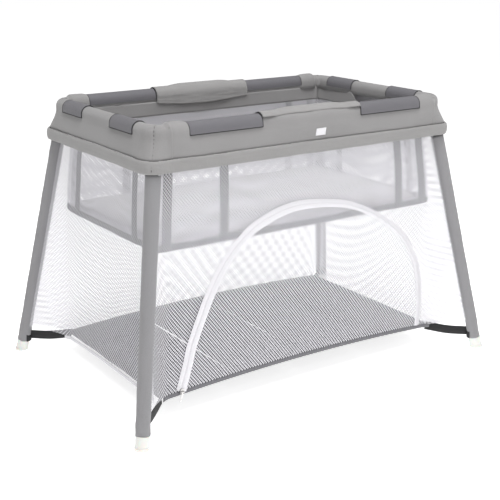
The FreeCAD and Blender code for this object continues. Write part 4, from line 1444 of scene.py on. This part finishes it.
class YARD_OT_bassinet(bpy.types.Operator):
    """Hang the bassinet's walls: a solid top band, netting, bound edges and webbing straps"""

    bl_idname = "yard.bassinet"
    bl_label = "Bassinet"

    def wall(self, where, name, low, high, rows, material, slot, depth, nodes=()):
        kind, outward = run_kind(where), wall_spot(where, 0, 1, 0)
        columns = 96 if kind == "long" else 56
        bm = grid_sheet(columns, rows, bassinet_place(where, low, high), lambda p: outward)
        for vert in bm.verts:
            vert.co += outward * depth
        piece = make_piece(bm, f"bassinet_{name}_{where}", material, False)
        hang(piece, where, slot, *nodes)
        return piece

    def upright(self, where, along, width):
        place = bassinet_place(where, BASSINET_Z, BASSINET_STRAP_TOP)
        share = (along / BASSINET_RUN[run_kind(where)] + 1) / 2
        path = [place(share, n / 40) + wall_spot(where, 0, 0.0016, 0) for n in range(41)]
        frames = path_frames(path, wall_spot(where, 0, 1, 0))
        bm = bmesh.new()
        sweep(bm, slab_profile(width, 0.0012, 2), frames, closed=True, capped=True)
        return bm

    def execute(self, context):
        sizes, colours = context.scene.yard_sizes, context.scene.yard_colours
        top, hem = RAIL_Z - 0.014, BASSINET_Z + 0.016
        net_low, net_high = BASSINET_Z + 0.004, BASSINET_BAND_LOW + 0.004
        net, cloth, webbing = netting_cloth(colours, sizes), rim_cloth(colours), black_webbing(colours)
        for where in (*SIDES, *ENDS):
            node = f"bassinet_wall_{where}"
            self.wall(where, "net", net_low, net_high, 30, net, "bassinet_netting", 0.0, (node,))
            band = self.wall(where, "band", BASSINET_BAND_LOW, top, 8, cloth, "rim_fabric", 0.0006)
            edge = self.wall(where, "binding", BASSINET_Z, hem, 3, webbing, "webbing", 0.0012)
            for piece in (band, edge):
                thicken(piece, 0.0009)
            straps = [self.upright(where, along, sizes.strap_width) for along in BASSINET_UPRIGHTS[where]]
            strap = make_piece(join_meshes(straps), f"bassinet_straps_{where}", webbing)
            hang(strap, where, "webbing")
        low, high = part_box("bassinet_floor")
        grow = Vector((0.016, 0.012, 0))
        boxes = [(low - grow, high + grow)]
        board = padded_row("bassinet_base", boxes, 0.03, 0.010, clip_cloth(colours), 0.0, 0.001)
        crumple(board, "bassinet_floor_fabric", "bassinet_floor")
        return {"FINISHED"}


# ---------------------------------------------------------------- trim


LABEL_X, LABEL_Z = 0.020, 0.661
LABEL_WIDTH, LABEL_HEIGHT = 0.030, 0.018


class YARD_OT_trim(bpy.types.Operator):
    """Sew the corner seams and a plain woven label on the front"""

    bl_idname = "yard.trim"
    bl_label = "Seams and Label"

    def seam(self, sizes, x_sign, y_sign):
        """The points of the rim cloth's section on a corner's diagonal."""
        corner = Vector((x_sign * (RAIL_X - BEND), y_sign * (RAIL_Y - BEND), RAIL_Z))
        outward = Vector((x_sign, y_sign, 0)).normalized()
        profile = rim_profile(sizes)[6:] + [(0.0345, -0.068), (0.0352, -0.080)]
        bm = bmesh.new()
        for u, v in profile:
            bm.verts.new(corner + outward * (BEND + u) + UP * v)
        shape_rim(bm, sizes, sizes.cloth_wave)
        bm.verts.ensure_lookup_table()
        points = [vert.co.copy() for vert in bm.verts]
        bm.free()
        centre = corner + outward * BEND
        return [p + (p - centre).normalized() * 0.0004 for p in tidy_path(points, 0.003)]

    def execute(self, context):
        sizes, colours = context.scene.yard_sizes, context.scene.yard_colours
        for end_name, end in ENDS.items():
            bm = bmesh.new()
            for side in SIDES.values():
                path = self.seam(sizes, end, side)
                across = Vector((-side, end, 0)).normalized()
                for place in path_frames(path, across)[1::3]:
                    made = bmesh.ops.create_cube(bm, size=1.0)["verts"]
                    spot = place @ Matrix.Diagonal((0.0018, 0.0016, 0.0046, 1))
                    bmesh.ops.transform(bm, matrix=spot, verts=made)
            piece = make_piece(bm, f"corner_seams_{end_name}", thread(colours))
            dress(piece, f"{end_name}_end", "rim_fabric")
        cloth = bpy.data.objects["rim_cloth_front"]

        def patch(s, t):
            x, z = LABEL_X + (s - 0.5) * LABEL_WIDTH, LABEL_Z + (t - 0.5) * LABEL_HEIGHT
            hit, spot, _, _ = cloth.ray_cast(Vector((x, -0.5, z)), Vector((0, 1, 0)))
            if not hit:
                raise RuntimeError("the label doesn't lie over the front skirt")
            return spot + Vector((0, -0.0009, 0))

        patch_sheet = grid_sheet(12, 8, patch, lambda p: Vector((0, -1, 0)))
        label = make_piece(patch_sheet, "plain_label", white_tape(colours), False)
        thicken(label, 0.0006)
        crumple(label, "zip_tape")
        return {"FINISHED"}


# ---------------------------------------------------------------- stage


CAMERA_AIM = Vector((0.001, 0, 0.290))
CAMERA_DISTANCE = 2.751
CAMERA_AZIMUTH = math.radians(-34.30)
CAMERA_ELEVATION = math.radians(17.10)
LIGHT_AIM = Vector((0, 0, 0.4))


def light(name, spot, size, power):
    """A round soft light that shines on the yard's middle."""
    lamp = bpy.data.lights.new(name, "AREA")
    lamp.shape, lamp.size, lamp.energy = "DISK", size, power
    holder = bpy.data.objects.new(name, lamp)
    holder.location = spot
    holder.rotation_mode = "QUATERNION"
    holder.rotation_quaternion = (LIGHT_AIM - Vector(spot)).to_track_quat("-Z", "Y")
    bpy.context.scene.collection.objects.link(holder)


class YARD_OT_stage(bpy.types.Operator):
    """Set up the pale floor, the soft studio light and the camera"""

    bl_idname = "yard.stage"
    bl_label = "Stage"

    def execute(self, context):
        scene = context.scene
        bm = bmesh.new()
        bmesh.ops.create_grid(bm, x_segments=1, y_segments=1, size=80)
        mesh = bpy.data.meshes.new("studio_floor")
        bm.to_mesh(mesh)
        bm.free()
        paper = bpy.data.materials.new("studio_paper")
        paper.use_nodes = True
        shader = paper.node_tree.nodes["Principled BSDF"]
        shader.inputs["Base Color"].default_value = (0.93, 0.93, 0.93, 1)
        shader.inputs["Roughness"].default_value = 0.9
        shader.inputs["Specular IOR Level"].default_value = 0.1
        shader.inputs["Emission Color"].default_value = (1, 1, 1, 1)
        shader.inputs["Emission Strength"].default_value = 0.72
        mesh.materials.append(paper)
        floor = bpy.data.objects.new("studio_floor", mesh)
        floor.location.z = -0.0002
        scene.collection.objects.link(floor)
        world = bpy.data.worlds.new("studio")
        world.use_nodes = True
        world.node_tree.nodes["Background"].inputs["Color"].default_value = (1, 1, 1, 1)
        world.node_tree.nodes["Background"].inputs["Strength"].default_value = 0.30
        scene.world = world
        scene.view_settings.view_transform = "Standard"
        light("key", (-0.5, -3.5, 2.4), 2.0, 28)
        light("top", (-0.3, -0.8, 3.5), 2.4, 112)
        camera = bpy.data.cameras.new("camera")
        camera.lens, camera.sensor_width = 71.57, 36.0
        camera.clip_start, camera.clip_end = 0.05, 60
        holder = bpy.data.objects.new("camera", camera)
        level = math.cos(CAMERA_ELEVATION)
        back = Vector(
            (
                math.sin(CAMERA_AZIMUTH) * level,
                -math.cos(CAMERA_AZIMUTH) * level,
                math.sin(CAMERA_ELEVATION),
            )
        )
        holder.location = CAMERA_AIM + back * CAMERA_DISTANCE
        holder.rotation_mode = "QUATERNION"
        holder.rotation_quaternion = (-back).to_track_quat("-Z", "Y")
        scene.collection.objects.link(holder)
        scene.camera = holder
        return {"FINISHED"}


# ---------------------------------------------------------------- panel and registration

OPERATORS = (
    YARD_OT_frame,
    YARD_OT_rail_covers,
    YARD_OT_rim,
    YARD_OT_clips,
    YARD_OT_flaps,
    YARD_OT_netting,
    YARD_OT_hems,
    YARD_OT_sleeves,
    YARD_OT_zip_door,
    YARD_OT_floor,
    YARD_OT_bassinet,
    YARD_OT_mattress,
    YARD_OT_trim,
    YARD_OT_stage,
)


class YARD_PT_panel(bpy.types.Panel):
    """Lists the play yard's pieces in building order"""

    bl_idname = "YARD_PT_panel"
    bl_label = "Play Yard"
    bl_space_type = "VIEW_3D"
    bl_region_type = "UI"
    bl_category = "Play Yard"

    def draw(self, context):
        for operator in OPERATORS:
            self.layout.operator(operator.bl_idname)
        for settings in (context.scene.yard_sizes, context.scene.yard_colours):
            for name in settings.bl_rna.properties.keys():
                if name not in ("rna_type", "name"):
                    self.layout.prop(settings, name)


def register():
    for item in (YardSizes, YardColours, *OPERATORS, YARD_PT_panel):
        bpy.utils.register_class(item)
    bpy.types.Scene.yard_sizes = bpy.props.PointerProperty(type=YardSizes)
    bpy.types.Scene.yard_colours = bpy.props.PointerProperty(type=YardColours)


def unregister():
    del bpy.types.Scene.yard_colours
    del bpy.types.Scene.yard_sizes
    for item in reversed((YardSizes, YardColours, *OPERATORS, YARD_PT_panel)):
        bpy.utils.unregister_class(item)


def main():
    register()
    for operator in OPERATORS:
        group, name = operator.bl_idname.split(".")
        getattr(getattr(bpy.ops, group), name)()


if __name__ == "__main__":
    main()
